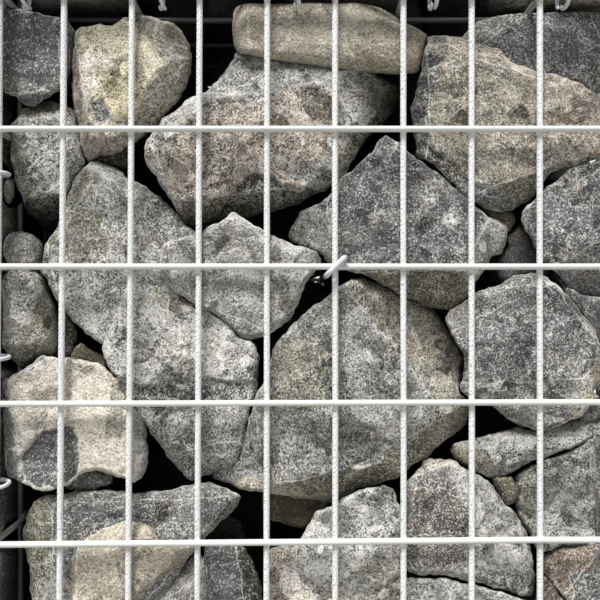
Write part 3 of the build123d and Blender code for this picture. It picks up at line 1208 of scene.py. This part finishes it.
        "deep": 10, "bend": 9, "tone": "grey", "flecks": 0.5, "ragged": 0.2, "steps": 0, "body": 30,
    },
    "shadedSliver": {
        "edge": [(58, 312), (68, 318), (78, 328), (76, 342), (70, 362), (56, 362), (56, 340)],
        "deep": 32, "tone": "shade", "body": 30,
    },
    "shadedChip": {
        "edge": [(70, 362), (74, 348), (80, 343), (90, 350), (104, 354), (108, 368), (84, 370)],
        "deep": 22, "tone": "olive", "body": 40,
    },
    "beigeLeft": {
        "edge": [
            (-8, 392), (1, 382), (8, 377), (19, 372), (28, 366), (42, 356), (57, 357), (71, 358), (87, 361),
            (104, 365), (110, 372), (120, 384), (127, 400), (135, 410), (143, 417), (147, 431), (148, 448),
            (147, 469), (141, 478), (135, 484), (127, 479), (115, 474), (100, 470), (88, 471), (78, 476),
            (70, 484), (56, 490), (44, 491), (32, 488), (19, 481), (8, 477), (0, 466), (-8, 440),
        ],
        "deep": 3, "tone": "beige", "flecks": 0.6, "body": 70, "steps": 0.4,
        "facets": [
            ((134, 430), 2, 1.0, "paleGrey"), ((14, 420), 190, 0.6, "grey"), ((24, 372), 120, 1.2, "slate"),
        ],
        "patches": [
            ([(20, 458), (32, 442), (46, 431), (60, 427), (74, 427), (77, 440), (79, 462), (76, 474),
              (66, 484), (40, 488), (22, 480)], "slate", 3.0),
            ([(-8, 418), (8, 420), (14, 440), (19, 460), (18, 482), (-8, 474)], "grey", 1.5),
        ],
    },
    "roundUnderBeige": {
        "edge": [(62, 478), (78, 468), (96, 468), (112, 474), (112, 484), (98, 489), (80, 492), (66, 489)],
        "deep": 14, "bend": 7, "tone": "slate", "flecks": 0.7, "body": 30,
    },
    "darkLong": {
        "edge": [
            (27, 515), (32, 506), (38, 498), (51, 495), (64, 493), (83, 491), (106, 490), (121, 491),
            (134, 494), (147, 491), (166, 491), (179, 488), (188, 485), (200, 482), (210, 483), (226, 488),
            (242, 496), (241, 501), (231, 512), (215, 528), (203, 540), (190, 556), (170, 590), (150, 640),
            (60, 656), (36, 640), (32, 600), (29, 566), (25, 549), (23, 530),
        ],
        "deep": 8, "tone": "slate", "flecks": 1.0, "body": 70,
        "facets": [
            ((52, 540), 180, 0.45, "olive"), ((226, 505), 320, 1.0, "grey"), ((150, 500), 92, 0.4, "grey"),
            ((60, 600), 200, 0.2, "paleGrey"),
        ],
    },
    "beigeLow": {
        "edge": [
            (84, 540), (94, 532), (108, 525), (122, 517), (135, 521), (147, 524), (153, 531), (159, 540),
            (178, 543), (198, 547), (191, 556), (178, 567), (159, 582), (140, 600), (128, 622), (112, 656),
            (88, 656), (78, 622), (72, 600), (66, 589), (66, 578), (71, 566), (76, 550),
        ],
        "deep": 2, "tone": "sand", "flecks": 0.6, "body": 50, "steps": 0.3,
        "facets": [
            ((120, 540), 95, 0.45, "sand"), ((166, 566), 312, 1.2, "umber"), ((76, 575), 180, 0.8, "tan"),
        ],
    },
    "lowGreyBlue": {
        "edge": [
            (120, 640), (135, 604), (150, 592), (165, 580), (180, 568), (196, 552), (206, 558), (208, 600),
            (206, 656), (124, 658),
        ],
        "deep": 12, "tone": "grey", "flecks": 0.9, "body": 50,
        "facets": [((178, 590), 130, 0.7, "paleGrey")],
    },
    "lowDark": {
        "edge": [
            (204, 548), (215, 541), (232, 540), (246, 547), (251, 559), (256, 572), (262, 589), (266, 610),
            (262, 656), (212, 658), (206, 620), (202, 575),
        ],
        "deep": 14, "tone": "slate", "flecks": 0.7, "body": 60, "facets": [((240, 570), 10, 0.6, "shade")],
    },
    "lowCentre": {
        "edge": [
            (268, 549), (280, 546), (298, 541), (301, 539), (306, 528), (315, 513), (328, 507), (339, 502),
            (344, 497), (358, 491), (370, 488), (382, 484), (393, 489), (399, 505), (404, 512), (406, 530),
            (405, 570), (404, 620), (395, 658), (290, 658), (268, 620), (265, 580),
        ],
        "deep": 4, "tone": "paleGrey", "flecks": 1.5, "body": 75,
        "facets": [
            ((296, 570), 180, 0.4, "umber"), ((380, 497), 60, 0.6, "lightGrey"),
            ((360, 590), 290, 0.15, "tan"),
        ],
    },
    "shadedShelf": {
        "edge": [
            (262, 492), (296, 495), (334, 500), (324, 512), (312, 520), (308, 528), (292, 527), (272, 520),
            (262, 510),
        ],
        "deep": 30, "tone": "olive", "flecks": 0.2, "body": 40,
    },
    "bigCentre": {
        "edge": [
            (361, 277), (350, 280), (340, 286), (330, 294), (315, 305), (302, 316), (289, 328), (279, 339),
            (272, 353), (268, 370), (262, 385), (254, 400), (250, 415), (246, 432), (242, 450), (232, 468),
            (215, 474), (211, 477), (238, 488), (264, 493), (277, 495), (296, 497), (315, 501), (331, 503),
            (340, 501), (350, 493), (357, 489), (368, 488), (382, 482), (400, 477), (407, 472), (415, 462),
            (428, 457), (440, 444), (451, 437), (460, 429), (468, 421), (468, 405), (458, 390), (462, 374),
            (465, 362), (464, 357), (456, 343), (447, 329), (442, 319), (430, 308), (419, 300), (406, 298),
            (392, 291), (376, 282),
        ],
        "deep": 5, "tone": "grey", "flecks": 1.3, "body": 85,
        "facets": [
            ((362, 306), 38, 0.65, "drab"), ((300, 479), 282, 1.0, "olive"),
            ((262, 440), 195, 0.45, "grey"), ((352, 470), 300, 0.5, "olive"),
            ((450, 410), 330, 1.4, "brown"), ((440, 345), 10, 0.5, "grey"),
        ],
        "patches": [
            ([(272, 350), (300, 335), (330, 350), (334, 395), (310, 410), (272, 405)], "khaki", 0.0),
            ([(342, 454), (348, 434), (362, 426), (378, 430), (385, 445), (380, 464),
              (354, 468)], "grey", 2.6),
            ([(236, 474), (262, 483), (300, 489), (334, 495), (332, 505), (296, 500), (262, 496),
              (232, 488)], "tan", 0.0),
        ],
    },
    "domeRight": {
        "edge": [
            (446, 320), (448, 312), (457, 306), (466, 301), (475, 292), (489, 289), (502, 283), (512, 276),
            (524, 274), (538, 274), (547, 276), (560, 288), (572, 301), (585, 316), (594, 329), (599, 340),
            (602, 352), (606, 366), (600, 384), (594, 391), (600, 398), (590, 405), (584, 414), (574, 420),
            (564, 424), (553, 428), (543, 431), (534, 430), (515, 422), (502, 414), (492, 406), (478, 402),
            (467, 396), (459, 386), (462, 378), (465, 366), (465, 358), (460, 347), (451, 334),
        ],
        "deep": 3, "tone": "slate", "flecks": 1.1, "body": 80,
        "facets": [
            ((572, 308), 38, 1.1, "grey"), ((500, 308), 115, 0.45, "grey"), ((530, 381), 272, 0.22, "grey"),
            ((500, 412), 240, 1.5, "grey"), ((585, 378), 320, 0.3, "tan"),
        ],
    },
    "slab": {
        "edge": [
            (450, 449), (452, 443), (467, 441), (479, 437), (496, 433), (508, 429), (521, 428), (535, 430),
            (547, 429), (566, 424), (600, 412), (625, 406), (650, 410), (656, 422), (640, 430), (604, 430),
            (591, 437), (584, 442), (566, 450), (547, 456), (535, 460), (521, 467), (510, 474), (499, 478),
            (489, 478), (479, 474), (467, 466), (456, 460),
        ],
        "deep": 9, "tone": "paleGrey", "flecks": 1.9, "body": 70,
        "facets": [
            ((520, 450), 88, 0.6, "paleGrey"), ((490, 462), 235, 0.6, "tan"),
            ((520, 460), 285, 1.2, "grey"),
        ],
    },
    "chipStone": {
        "edge": [(492, 478), (511, 475), (517, 486), (519, 496), (514, 503), (506, 507), (499, 498)],
        "deep": 14, "bend": 4, "tone": "olive", "flecks": 0.3, "body": 30, "steps": 0,
        "facets": [((504, 490), 215, 0.9, "shade")],
    },
    "beigeBrown": {
        "edge": [
            (407, 482), (416, 471), (423, 462), (428, 459), (451, 459), (457, 462), (467, 470), (476, 475),
            (489, 480), (494, 488), (501, 499), (506, 506), (515, 512), (522, 522), (527, 535), (531, 550),
            (534, 566), (535, 581), (532, 597), (521, 596), (506, 590), (489, 586), (469, 581), (445, 575),
            (425, 576), (409, 572), (403, 566), (402, 520), (404, 495),
        ],
        "deep": 3, "bend": 7, "tone": "paleGrey", "flecks": 1.2, "body": 75, "steps": 0.4,
        "facets": [
            ((470, 500), 25, 0.35, "paleGrey"), ((430, 470), 110, 0.9, "tan"), ((520, 550), 0, 0.8, "grey"),
        ],
        "patches": [
            ([(476, 566), (500, 572), (520, 574), (534, 564), (535, 590), (521, 594), (489, 585),
              (474, 580)], "slate", 1.6),
            ([(402, 496), (416, 476), (446, 474), (470, 506), (474, 562), (440, 574),
              (402, 568)], "rustGrey", 0.0),
        ],
    },
    "crackedFoot": {
        "edge": [
            (402, 576), (425, 579), (445, 578), (469, 584), (489, 589), (506, 593), (521, 599), (531, 604),
            (535, 625), (528, 656), (440, 660), (405, 656), (400, 610),
        ],
        "deep": 3, "tone": "paleGrey", "flecks": 1.0, "body": 60,
        "facets": [((450, 600), 270, 0.3, "grey")],
    },
    "oliveRight": {
        "edge": [
            (514, 478), (528, 467), (540, 461), (560, 456), (579, 447), (588, 440), (600, 436), (630, 430),
            (652, 434), (656, 470), (656, 520), (650, 545), (600, 541), (560, 546), (541, 553), (536, 549),
            (530, 536), (520, 517), (513, 503), (518, 492),
        ],
        "deep": 11, "tone": "lightGrey", "flecks": 1.6, "body": 65,
        "facets": [((592, 480), 5, 0.5, "lightGrey"), ((540, 500), 180, 0.5, "khaki")],
    },
    "darkFoot": {
        "edge": [
            (541, 556), (560, 548), (600, 544), (650, 546), (656, 570), (656, 640), (640, 658), (570, 658),
            (560, 625), (566, 600), (553, 584), (543, 574),
        ],
        "deep": 6, "tone": "slate", "flecks": 1.0, "body": 60, "facets": [((580, 575), 140, 0.4, "brown")],
    },
    "rosyFoot": {
        "edge": [
            (537, 570), (545, 577), (556, 590), (567, 602), (562, 630), (566, 656), (528, 658), (534, 625),
            (536, 600),
        ],
        "deep": 10, "tone": "brown", "flecks": 1.0, "body": 40,
    },
    "gapRight": {
        "edge": [
            (505, 237), (518, 224), (528, 232), (536, 250), (541, 262), (550, 271), (541, 277), (522, 276),
            (508, 284), (497, 279), (494, 268), (500, 256), (509, 245),
        ],
        "deep": 26, "bend": 6, "tone": "slate", "flecks": 0.4, "body": 30, "steps": 0,
    },
    "gapTop": {
        "edge": [(476, 204), (495, 211), (513, 212), (516, 220), (509, 232), (497, 224)],
        "deep": 24, "tone": "olive", "flecks": 0.2, "body": 30, "steps": 0,
    },
    "gapUnderRight": {
        "edge": [
            (553, 272), (566, 286), (582, 294), (600, 298), (625, 300), (645, 312), (656, 340), (650, 385),
            (615, 392), (606, 366), (600, 345), (593, 328), (583, 314), (570, 301),
        ],
        "deep": 15, "tone": "slate", "flecks": 0.7, "body": 55,
    },
    "rightMiddle": {
        "edge": [
            (600, 386), (618, 380), (645, 378), (656, 390), (656, 414), (620, 414), (600, 416), (582, 424),
            (580, 410), (597, 401),
        ],
        "deep": 18, "tone": "grey", "flecks": 0.7, "body": 45,
    },
    "dimLowLeft": {
        "edge": [(-8, 510), (4, 513), (10, 524), (7, 534), (-2, 540), (-8, 541)],
        "deep": 38, "bend": 6, "tone": "slate", "flecks": 0.2, "body": 20, "steps": 0,
    },
    "dimCentre": {
        "edge": [
            (206, 516), (216, 508), (228, 514), (240, 520), (246, 536), (250, 548), (212, 548), (204, 534),
        ],
        "deep": 40, "tone": "shade", "flecks": 0.2, "body": 20, "steps": 0,
    },
}

stoneLook = {
    "front": -0.1442,  # the front of a stone that touches the mesh
    "usual": {
        "tilt": (0.0, 0.0),
        "facets": [],
        "patches": [],
        "bend": 3.2,
        "body": 60,
        "steps": 0.8,
        "flecks": 0.8,
        "ragged": 1.0,
    },
    "spacing": 2.2,  # of the points, in mm
    "patchSpacing": 1.5,
    "columns": (40, 240),  # least and most
    "frontRows": (9, 48),
    "backRows": 7,
    "rowCrowding": 0.85,
    "firstSeed": 100,
    "seedStep": 0.37,  # how far the ground moves on from stone to stone
    "noEdge": 60.0,  # distance in mm that stands for no worn edge near by
    "ridgeStray": (0.03, 3, 0.0022),  # span, octaves and height of the waves
    "toneStray": (0.02, 4, 0.005),
    "ridgeSoft": 0.0007,
    "toneSoft": 0.0008,
    "leastTurn": 0.1,
    "ground": ((0.06, 2, 0.0018), (0.02, 3, 0.0007)),
    "cleavage": 0.034,  # from one broken step to the next
    "cleavageStray": (0.03, 3, 0.26),
    "stepAt": (0.42, 0.16),
    "patchStray": (0.012, 3, 3.0),
    # A patch that only changes the tone is a stain, or painted shade where it stands for a hollow
    "patchSoft": (9.0, 1.4),  # width of a patch's border in pixels: where it only stains, and where it drops
    "foremost": 0.0004,  # how far any ground may lie before the front
    "backEnd": 0.6,
    "backRound": 0.62,
    "backLumps": (0.04, 3, 0.002),
    "backShade": 0.9,
    "walls": ((0.0006, 0.4862), (0.0098, 0.4966)),  # of the basket, along x and along z
    "partitionWire": (0.0048, 0.006, 0.1),  # room for it, its spread, and from one to the next
    "tuck": 0.055,  # how far before the middle of the depth the backs end
    "batch": 80000,  # faces, past which the next stone starts a new piece
}


# Distance in pixels to the border of a polygon, above 0 inside it: the least distance to its sides, where the
# nearest point of a side is the projection on it, cut to 0 and 1. Inside, a ray to the right crosses an odd
# count of sides
def patchDistance(pixels, polygon):
    polygon = np.asarray(polygon, float)
    side = np.roll(polygon, -1, 0) - polygon
    away = pixels[..., None, :] - polygon
    along = np.clip((away * side).sum(-1) / (side**2).sum(-1), 0, 1)
    distance = np.linalg.norm(away - along[..., None] * side, axis=-1).min(-1)
    spans = (away[..., 1] < 0) != (away[..., 1] < side[:, 1])
    cut = away[..., 1] * side[:, 0] / np.where(side[:, 1] == 0, 1e-9, side[:, 1])
    crossed = np.sum(spans & (away[..., 0] < cut), -1)
    return np.where(crossed % 2 == 1, distance, -distance)


# Waves given as span, octaves and height
def stray(points, rng, terms):
    span, octaves, height = terms
    return roughness(points, rng, span, octaves) * height


# Two signed distances in one, 0 where either of them is
def bothEdges(first, second):
    return first * second / (np.abs(first) + np.abs(second) + 1e-6)


# The fall of a stone's front as a soft maximum of its facets' falls, each a slope past its ridge. With it
# come the tone, and the distance in mm to the nearest ridge, below 0 on the facets that fall away
def facetFalls(place, middle, toMetres, stone, rng):
    look = stoneLook
    level = np.zeros(place.shape[:2])
    falls, toneFalls, tones, slopes = [level], [level], [stone["tone"]], [(0.0, 0.0)]
    for pixel, way, steep, facetTone in stone["facets"]:
        ridge = (np.array(pixel) - middle) * toMetres
        turn = math.radians(way)
        past = (place[..., 0] - ridge[0]) * math.cos(turn) + (place[..., 1] - ridge[1]) * math.sin(turn)
        solid = placesAt(place[..., 0], place[..., 1], way / 60.0)
        falls.append(steep * (past + stray(solid, rng, look["ridgeStray"])))
        toneFalls.append(falls[-1] + stray(solid, rng, look["toneStray"]))
        tones.append(facetTone)
        slopes.append((steep * math.cos(turn), steep * math.sin(turn)))
    falls, toneFalls, slopes = np.stack(falls, -1), np.stack(toneFalls, -1), np.array(slopes)
    top = falls.max(-1, keepdims=True)
    soft = np.exp((falls - top) / look["ridgeSoft"])
    fall = top[..., 0] + look["ridgeSoft"] * np.log(soft.sum(-1))
    shares = np.exp((toneFalls - toneFalls.max(-1, keepdims=True)) / look["toneSoft"])
    shares /= shares.sum(-1, keepdims=True)
    tone = shares @ np.array([stoneTones[name] for name in tones])
    if len(tones) == 1:
        return fall, tone, np.full(fall.shape, look["noEdge"])
    order, ordered = np.argsort(falls, -1), np.sort(falls, -1)
    turned = np.linalg.norm(slopes[order[..., -1]] - slopes[order[..., -2]], axis=-1)
    edge = (ordered[..., -1] - ordered[..., -2]) * 1000 / np.maximum(turned, look["leastTurn"])
    return fall, tone, edge * np.where(order[..., -1] == 0, 1.0, -1.0)


# Uneven ground and broken steps: level floors that a short slope joins, across a random direction. With it
# comes the distance to the nearest worn edge, which is a ridge, a step or the rim
def brokenGround(place, solid, toRim, edge, height, rng):
    look = stoneLook
    ground = sum(stray(solid, rng, terms) for terms in look["ground"])
    cleft = rng.uniform(0, 2 * math.pi)
    along = place[..., 0] * math.cos(cleft) + place[..., 1] * math.sin(cleft)
    broken = along / look["cleavage"] + stray(solid + 0.5, rng, look["cleavageStray"])
    level = np.floor(broken)
    part = broken - level
    start, width = look["stepAt"]
    ground = ground + height * (level + eased((part - start) / width))
    if height == 0:
        return ground, np.full(edge.shape, look["noEdge"])
    edge = bothEdges(edge, (part - 0.5) * look["noEdge"] * (1 - 2 * (level % 2)))
    return ground, bothEdges(edge, toRim * 1000)


# One stone of the photograph. Two parameters: u runs round its outline, and s from its middle to the rim
# and on to the middle of its back. In front, depth is the front plane plus the facets' falls, plus a
# quarter-circle rim, plus the ground. Behind, the outline shrinks as a root of 1 - t squared while the depth
# runs on, along the lines of sight, so that the outline is what shows
def addPhotoStone(heap, stone, seed):
    rng = np.random.default_rng(seed)
    look = stoneLook
    stone = {**look["usual"], **stone}
    pixelSize = (look["front"] - viewer["place"][1]) / viewer["focalPixels"]
    toMetres = [pixelSize, -pixelSize]
    outline = np.asarray(stone["edge"], float)
    around = np.sum(np.hypot(*(np.roll(outline, -1, 0) - outline).T)) * pixelSize * 1000
    spacing = look["patchSpacing"] if stone["patches"] else look["spacing"]
    columns = int(np.clip(around / spacing, *look["columns"]))
    middle = (outline.min(0) + outline.max(0)) / 2 * 0.5 + outline.mean(0) * 0.5
    ring = roughRing(outline, columns, rng, stone["ragged"])
    reach = np.linalg.norm(ring - middle, axis=1) * pixelSize
    frontRows = int(np.clip(reach.mean() * 1000 / spacing, *look["frontRows"]))
    share = ((np.arange(frontRows) + 1) / frontRows) ** look["rowCrowding"]
    pixels = middle + share[:, None, None] * (ring - middle)
    place = (pixels - middle) * toMetres
    tiltX, tiltZ = stone["tilt"]
    base = look["front"] + stone["deep"] / 1000 + place[..., 0] * tiltX + place[..., 1] * tiltZ
    fall, tone, edge = facetFalls(place, middle, toMetres, stone, rng)
    toRim = (1 - share)[:, None] * reach[None]
    bend = stone["bend"] / 1000
    rim = bend * (1 - np.sqrt(np.clip(1 - np.clip(1 - toRim / bend, 0, 1) ** 2, 0, 1)))
    solid = placesAt(place[..., 0], place[..., 1], seed * look["seedStep"])
    height = stone["steps"] / 1000
    ground, edge = brokenGround(place, solid, toRim, edge, height, rng)
    for polygon, patchTone, drop in stone["patches"]:
        wobble = np.stack([stray(solid + start, rng, look["patchStray"]) for start in (0, 1)], -1)
        within = patchDistance(pixels + wobble, polygon)
        inside = np.clip(0.5 + within / look["patchSoft"][drop > 0], 0, 1)
        tone = tone + inside[..., None] * (np.array(stoneTones[patchTone]) - tone)
        ground = ground + inside * drop / 1000
        if drop > 0:
            edge = bothEdges(edge, within * pixelSize * 1000)
    depth = np.maximum(base + fall + rim + ground, look["front"] - look["foremost"])
    front = seenAt(pixels, depth)
    rows = look["backRows"]
    back = (np.arange(rows) + 1) / (rows + look["backEnd"])
    narrow = (1 - back**2) ** look["backRound"]
    endDepth = min(depth[-1].mean() + stone["body"] / 1000, -look["tuck"])
    backDepth = depth[-1] + back[:, None] * (endDepth - depth[-1])
    behind = seenAt(middle + narrow[:, None, None] * (ring - middle), backDepth)
    behind = behind + stray(behind, rng, look["backLumps"])[..., None] * np.array([1.0, 0.0, 1.0])
    poles = np.stack([seenAt(middle, depth[0].mean()), seenAt(middle, endDepth)])
    points = np.concatenate([front.reshape(-1, 3), behind.reshape(-1, 3), poles])
    (lowX, highX), (lowZ, highZ) = look["walls"]
    room, spread, pitch = look["partitionWire"]
    toWire = np.abs(points[:, 2] - np.round(points[:, 2] / pitch) * pitch)
    points[:, 0] = np.clip(points[:, 0], lowX + room * np.exp(-((toWire / spread) ** 2)), highX)
    points[:, 2] = np.clip(points[:, 2], lowZ, highZ)
    # The backs take the tone of the rim, darker as painted shade
    rimTone = np.broadcast_to(tone[-1], (rows, columns, 3)) * look["backShade"]
    plain = stoneTones[stone["tone"]]
    tones = np.concatenate([tone.reshape(-1, 3), rimTone.reshape(-1, 3), [plain, plain]])
    tones = np.concatenate([tones, np.ones((len(tones), 1))], -1)
    behindRim = np.repeat(-look["noEdge"] * back if height > 0 else np.full(rows, look["noEdge"]), columns)
    edges = np.concatenate([edge.ravel(), behindRim, [look["noEdge"], behindRim[-1]]])
    flecks = np.full(len(points), stone["flecks"])
    faces = closedFaces(1, frontRows + rows, columns)
    heap.add(points, faces, 0, tone=tones, edge=edges, flecks=flecks)


def makePhotoStones():
    heaps = [Heap()]
    for seed, stone in enumerate(photoStones.values()):
        if len(heaps[-1].faces) > stoneLook["batch"]:
            heaps.append(Heap())
        addPhotoStone(heaps[-1], stone, stoneLook["firstSeed"] + seed)
    for batch, heap in enumerate(heaps):
        heap.piece(f"photoStones_{batch + 1}", [brokenStone], "stone", ["stone_fill_lower_right"])


brokenStone = stoneMaterial()
makePhotoStones()
print("stones of the photographed face made")

packedStones = {
    "facePitch": (0.100, 0.098, 0.088),
    "corePitch": (0.066, 0.034, 0.062),
    "core": 0.050,  # half the thickness of the smaller stones in the middle of the depth
    "thinnest": 0.02,
    "stagger": 0.22,  # this and the next three as shares of the pitch
    "jitter": 0.30,
    "margin": 0.2,
    "rodClear": 0.38,
    "neighbours": 30,
    "weights": (0.45, 0.05),  # how large stones push their borders out, and by how much it varies
    "gap": 0.0016,
    "least": (0.004, 0.008),  # from a seed to its neighbour's plane, and to a wall
    "wallTurn": 0.05,
    "wallInset": 0.005,
    "faceGrid": (17, 26),
    "coreGrid": (9, 14),
    "chips": 4,
    "chipReach": (0.9, 1.3),
    "settled": (0.012, 0.8),  # how far the topmost stones may lie below the lid, and which those are
    "rodRoom": 0.0032,
    "shades": (0.78, 1.2),
    "oddFacets": 0.14,
    "powers": {12: 0.10, 24: 0.30, 34: 0.35, 44: 0.25},  # how sharp the edges are, and the share of each
    "worn": 13,  # below this power a stone has no worn edges
    "flecks": (0.5, 1.25),
    "uneven": (0.045, 4, 0.0016),
    "sunk": 0.0008,
    "inset": 0.0004,
    "behindPhoto": 0.001,
    "seeds": {"lower_left": 499, "lower_right": 527, "upper_left": 509, "upper_right": 510},
    "tones": {
        "slate": 0.26,
        "grey": 0.30,
        "paleGrey": 0.12,
        "brown": 0.08,
        "tan": 0.12,
        "olive": 0.08,
        "beige": 0.04,
    },
}


def turnedFrames(count, rng):
    first = unit(rng.normal(size=(count, 3)))
    second = unit(np.cross(first, rng.normal(size=(count, 3))))
    return np.stack([first, second, np.cross(first, second)], 1)


# Seeds in a staggered lattice, each moved at random, and kept off the spacer tie's rod
def seedPlaces(low, high, pitch, rod, rng):
    look = packedStones
    span = high - low
    counts = np.maximum(np.round(span / pitch), 1).astype(int)
    grid = np.stack(np.meshgrid(*[np.arange(n) for n in counts], indexing="ij"), -1).reshape(-1, 3)
    step = span / counts
    odd = placesAt((grid[:, 2] + grid[:, 1]) % 2, 0, grid[:, 0] % 2)
    stray = (odd - 0.5) * look["stagger"] + rng.uniform(-look["jitter"], look["jitter"], grid.shape)
    margin = look["margin"] * min(pitch)
    places = np.clip(low + (grid + 0.5 + stray) * step, low + margin, high - margin)
    away = places[:, [0, 2]] - rod
    far = np.linalg.norm(away, axis=1, keepdims=True)
    clear = look["rodClear"] * pitch[2]
    places[:, [0, 2]] += np.where(far < clear, away / far * (clear - far), 0)
    return places


# Seeds in three layers, from front to back, and the size of the stone round each of them
def layeredSeeds(low, high, rod, rng):
    look = packedStones
    core = look["core"]
    layers = [
        (low[1], -core, look["facePitch"]),
        (max(low[1], -core), core, look["corePitch"]),
        (core, high[1], look["facePitch"]),
    ]
    seeds, sizes = [], []
    for front, back, pitch in layers:
        if back - front >= look["thinnest"]:
            corners = np.array([low[0], front, low[2]]), np.array([high[0], back, high[2]])
            seeds.append(seedPlaces(*corners, pitch, rod, rng))
            sizes.append(np.full(len(seeds[-1]), np.mean(pitch)))
    return np.concatenate(seeds), np.concatenate(sizes)


# Packed stones: one convex cell round each seed, cut by planes between it and its neighbours, by the basket's
# walls and by a few chips. In direction d a stone reaches to the soft least of h / (n . d) over its planes,
# the p-norm of (n . d) / h turned over, so the planes never cross and the edges are rounded by p
def packStones(heap, low, high, rod, seed):
    look = packedStones
    rng = np.random.default_rng(seed)
    seeds, sizes = layeredSeeds(low, high, rod, rng)
    count = len(seeds)
    between = seeds[None] - seeds[:, None]
    far = np.linalg.norm(between, axis=-1) + np.eye(count)
    near = np.argsort(far + np.eye(count) * 9, axis=1)[:, : look["neighbours"]]
    whole, stray = look["weights"]
    weight = (sizes * whole) ** 2 + rng.uniform(-stray, stray, count) * sizes**2
    each = np.arange(count)[:, None]
    distance = far[each, near]
    normals = [between[each, near] / distance[..., None]]
    halfway = distance / 2 + (weight[:, None] - weight[near]) / (2 * distance) - look["gap"] / 2
    toPlane, toWall = look["least"]
    offsets = [np.maximum(halfway, toPlane)]
    walls = np.concatenate([np.eye(3), -np.eye(3)])
    room = np.concatenate([high - seeds, seeds - low], 1)
    normals.append(unit(walls[None] + rng.normal(0, look["wallTurn"], (count, 6, 3))))
    inset = rng.uniform(0.0, look["wallInset"], (count, 6))
    drop, topmost = look["settled"]
    inset[:, 2] += rng.uniform(0, drop, count) * (room[:, 2] < look["facePitch"][2] * topmost)
    offsets.append(np.maximum(room - inset, toWall))
    normals.append(unit(rng.normal(size=(count, look["chips"], 3))))
    offsets.append(sizes[:, None] / 2 * rng.uniform(*look["chipReach"], (count, look["chips"])))
    toRod = rod - seeds[:, [0, 2]]
    rodFar = np.linalg.norm(toRod, axis=1)
    normals.append((placesAt(toRod[:, 0], 0, toRod[:, 1]) / rodFar[:, None])[:, None])
    offsets.append((rodFar - look["rodRoom"])[:, None])
    normals, offsets = np.concatenate(normals, 1), np.concatenate(offsets, 1)
    names = list(look["tones"])
    palette = np.array([stoneTones[name] for name in names])
    picks = rng.choice(len(names), count, p=list(look["tones"].values()))
    facetTones = palette[picks][:, None] * rng.uniform(*look["shades"], (count, normals.shape[1], 1))
    odd = rng.random((count, normals.shape[1])) < look["oddFacets"]
    others = palette[rng.integers(0, len(names) - 2, (count, normals.shape[1]))]
    facetTones = np.where(odd[..., None], others, facetTones)
    powers = rng.choice(list(look["powers"]), count, p=list(look["powers"].values()))
    fleckShares = rng.uniform(*look["flecks"], count)
    isFace = sizes > sizes.min() + 1e-6
    for chosen, grid in ((isFace, look["faceGrid"]), (~isFace, look["coreGrid"])):
        picked = [values[chosen] for values in (seeds, normals, offsets, facetTones, powers, fleckShares)]
        addCells(heap, low, high, *picked, grid, rng)


# The stones themselves, all with the same grid of directions
def addCells(heap, low, high, seeds, normals, offsets, facetTones, powers, fleckShares, grid, rng):
    look = packedStones
    rows, columns = grid
    count = len(seeds)
    down = np.concatenate([[0], (np.arange(rows) + 1) / (rows + 1), [1]])[:, None] * math.pi
    turn = np.arange(columns)[None] * 2 * math.pi / columns
    ball = placesAt(np.sin(down) * np.cos(turn), np.sin(down) * np.sin(turn), np.cos(down))
    ways = np.einsum("rck,nkj->nrcj", ball, turnedFrames(count, rng))
    cuts = np.maximum(np.einsum("nrcj,nkj->nrck", ways, normals), 0) / offsets[:, None, None]
    power = powers[:, None, None]
    top = cuts.max(-1)
    reach = 1 / (top * ((cuts / top[..., None]) ** power[..., None]).sum(-1) ** (1 / power))
    points = seeds[:, None, None] + reach[..., None] * ways
    points = points + ways * (stray(points, rng, look["uneven"])[..., None] - look["sunk"])
    points = np.clip(points, low, high)
    # Each facet is on one side or the other, and where two of unlike sides meet, the edge is a worn one
    ordered = np.sort(cuts, -1)
    facet = cuts.argmax(-1)
    each = np.arange(count)[:, None, None]
    side = rng.choice([-1.0, 1.0], (count, normals.shape[1]))[each, facet]
    smooth = stoneLook["noEdge"] * (power < look["worn"])
    edge = (1 - ordered[..., -2] / ordered[..., -1]) * reach * 1000 * side + smooth
    tone = facetTones[each, facet]
    tone = np.concatenate([tone, np.ones(tone.shape[:3] + (1,))], -1)
    flecks = np.broadcast_to(fleckShares[:, None, None], tone.shape[:3])
    # The grid without its first and last rows, and then one end point for each of those
    marks = [
        np.concatenate([values[:, 1:-1].reshape(-1, *values.shape[3:]), values[:, 0, 0], values[:, -1, 0]])
        for values in (points, tone, edge, flecks)
    ]
    faces = closedFaces(count, rows, columns)
    heap.add(marks[0], faces, 0, tone=marks[1], edge=marks[2], flecks=marks[3])


def makePackedStones():
    look = packedStones
    for course, bottom in courses.items():
        for bay, left in bays.items():
            heap = Heap()
            node = f"stone_fill_{course}_{bay}"
            low, high = [np.array(corner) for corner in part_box(node)]
            low, high = low + look["inset"], high - look["inset"]
            if node == "stone_fill_lower_right":
                low[1] = look["behindPhoto"] - stoneLook["tuck"]
            rod = np.array([left + spacerTie["fromSeam"], bottom + spacerTie["fromBottom"]])
            packStones(heap, low, high, rod, look["seeds"][f"{course}_{bay}"])
            heap.piece(f"packedStones_{course}_{bay}", [brokenStone], "stone", [node])


makePackedStones()
print("packed stones made")
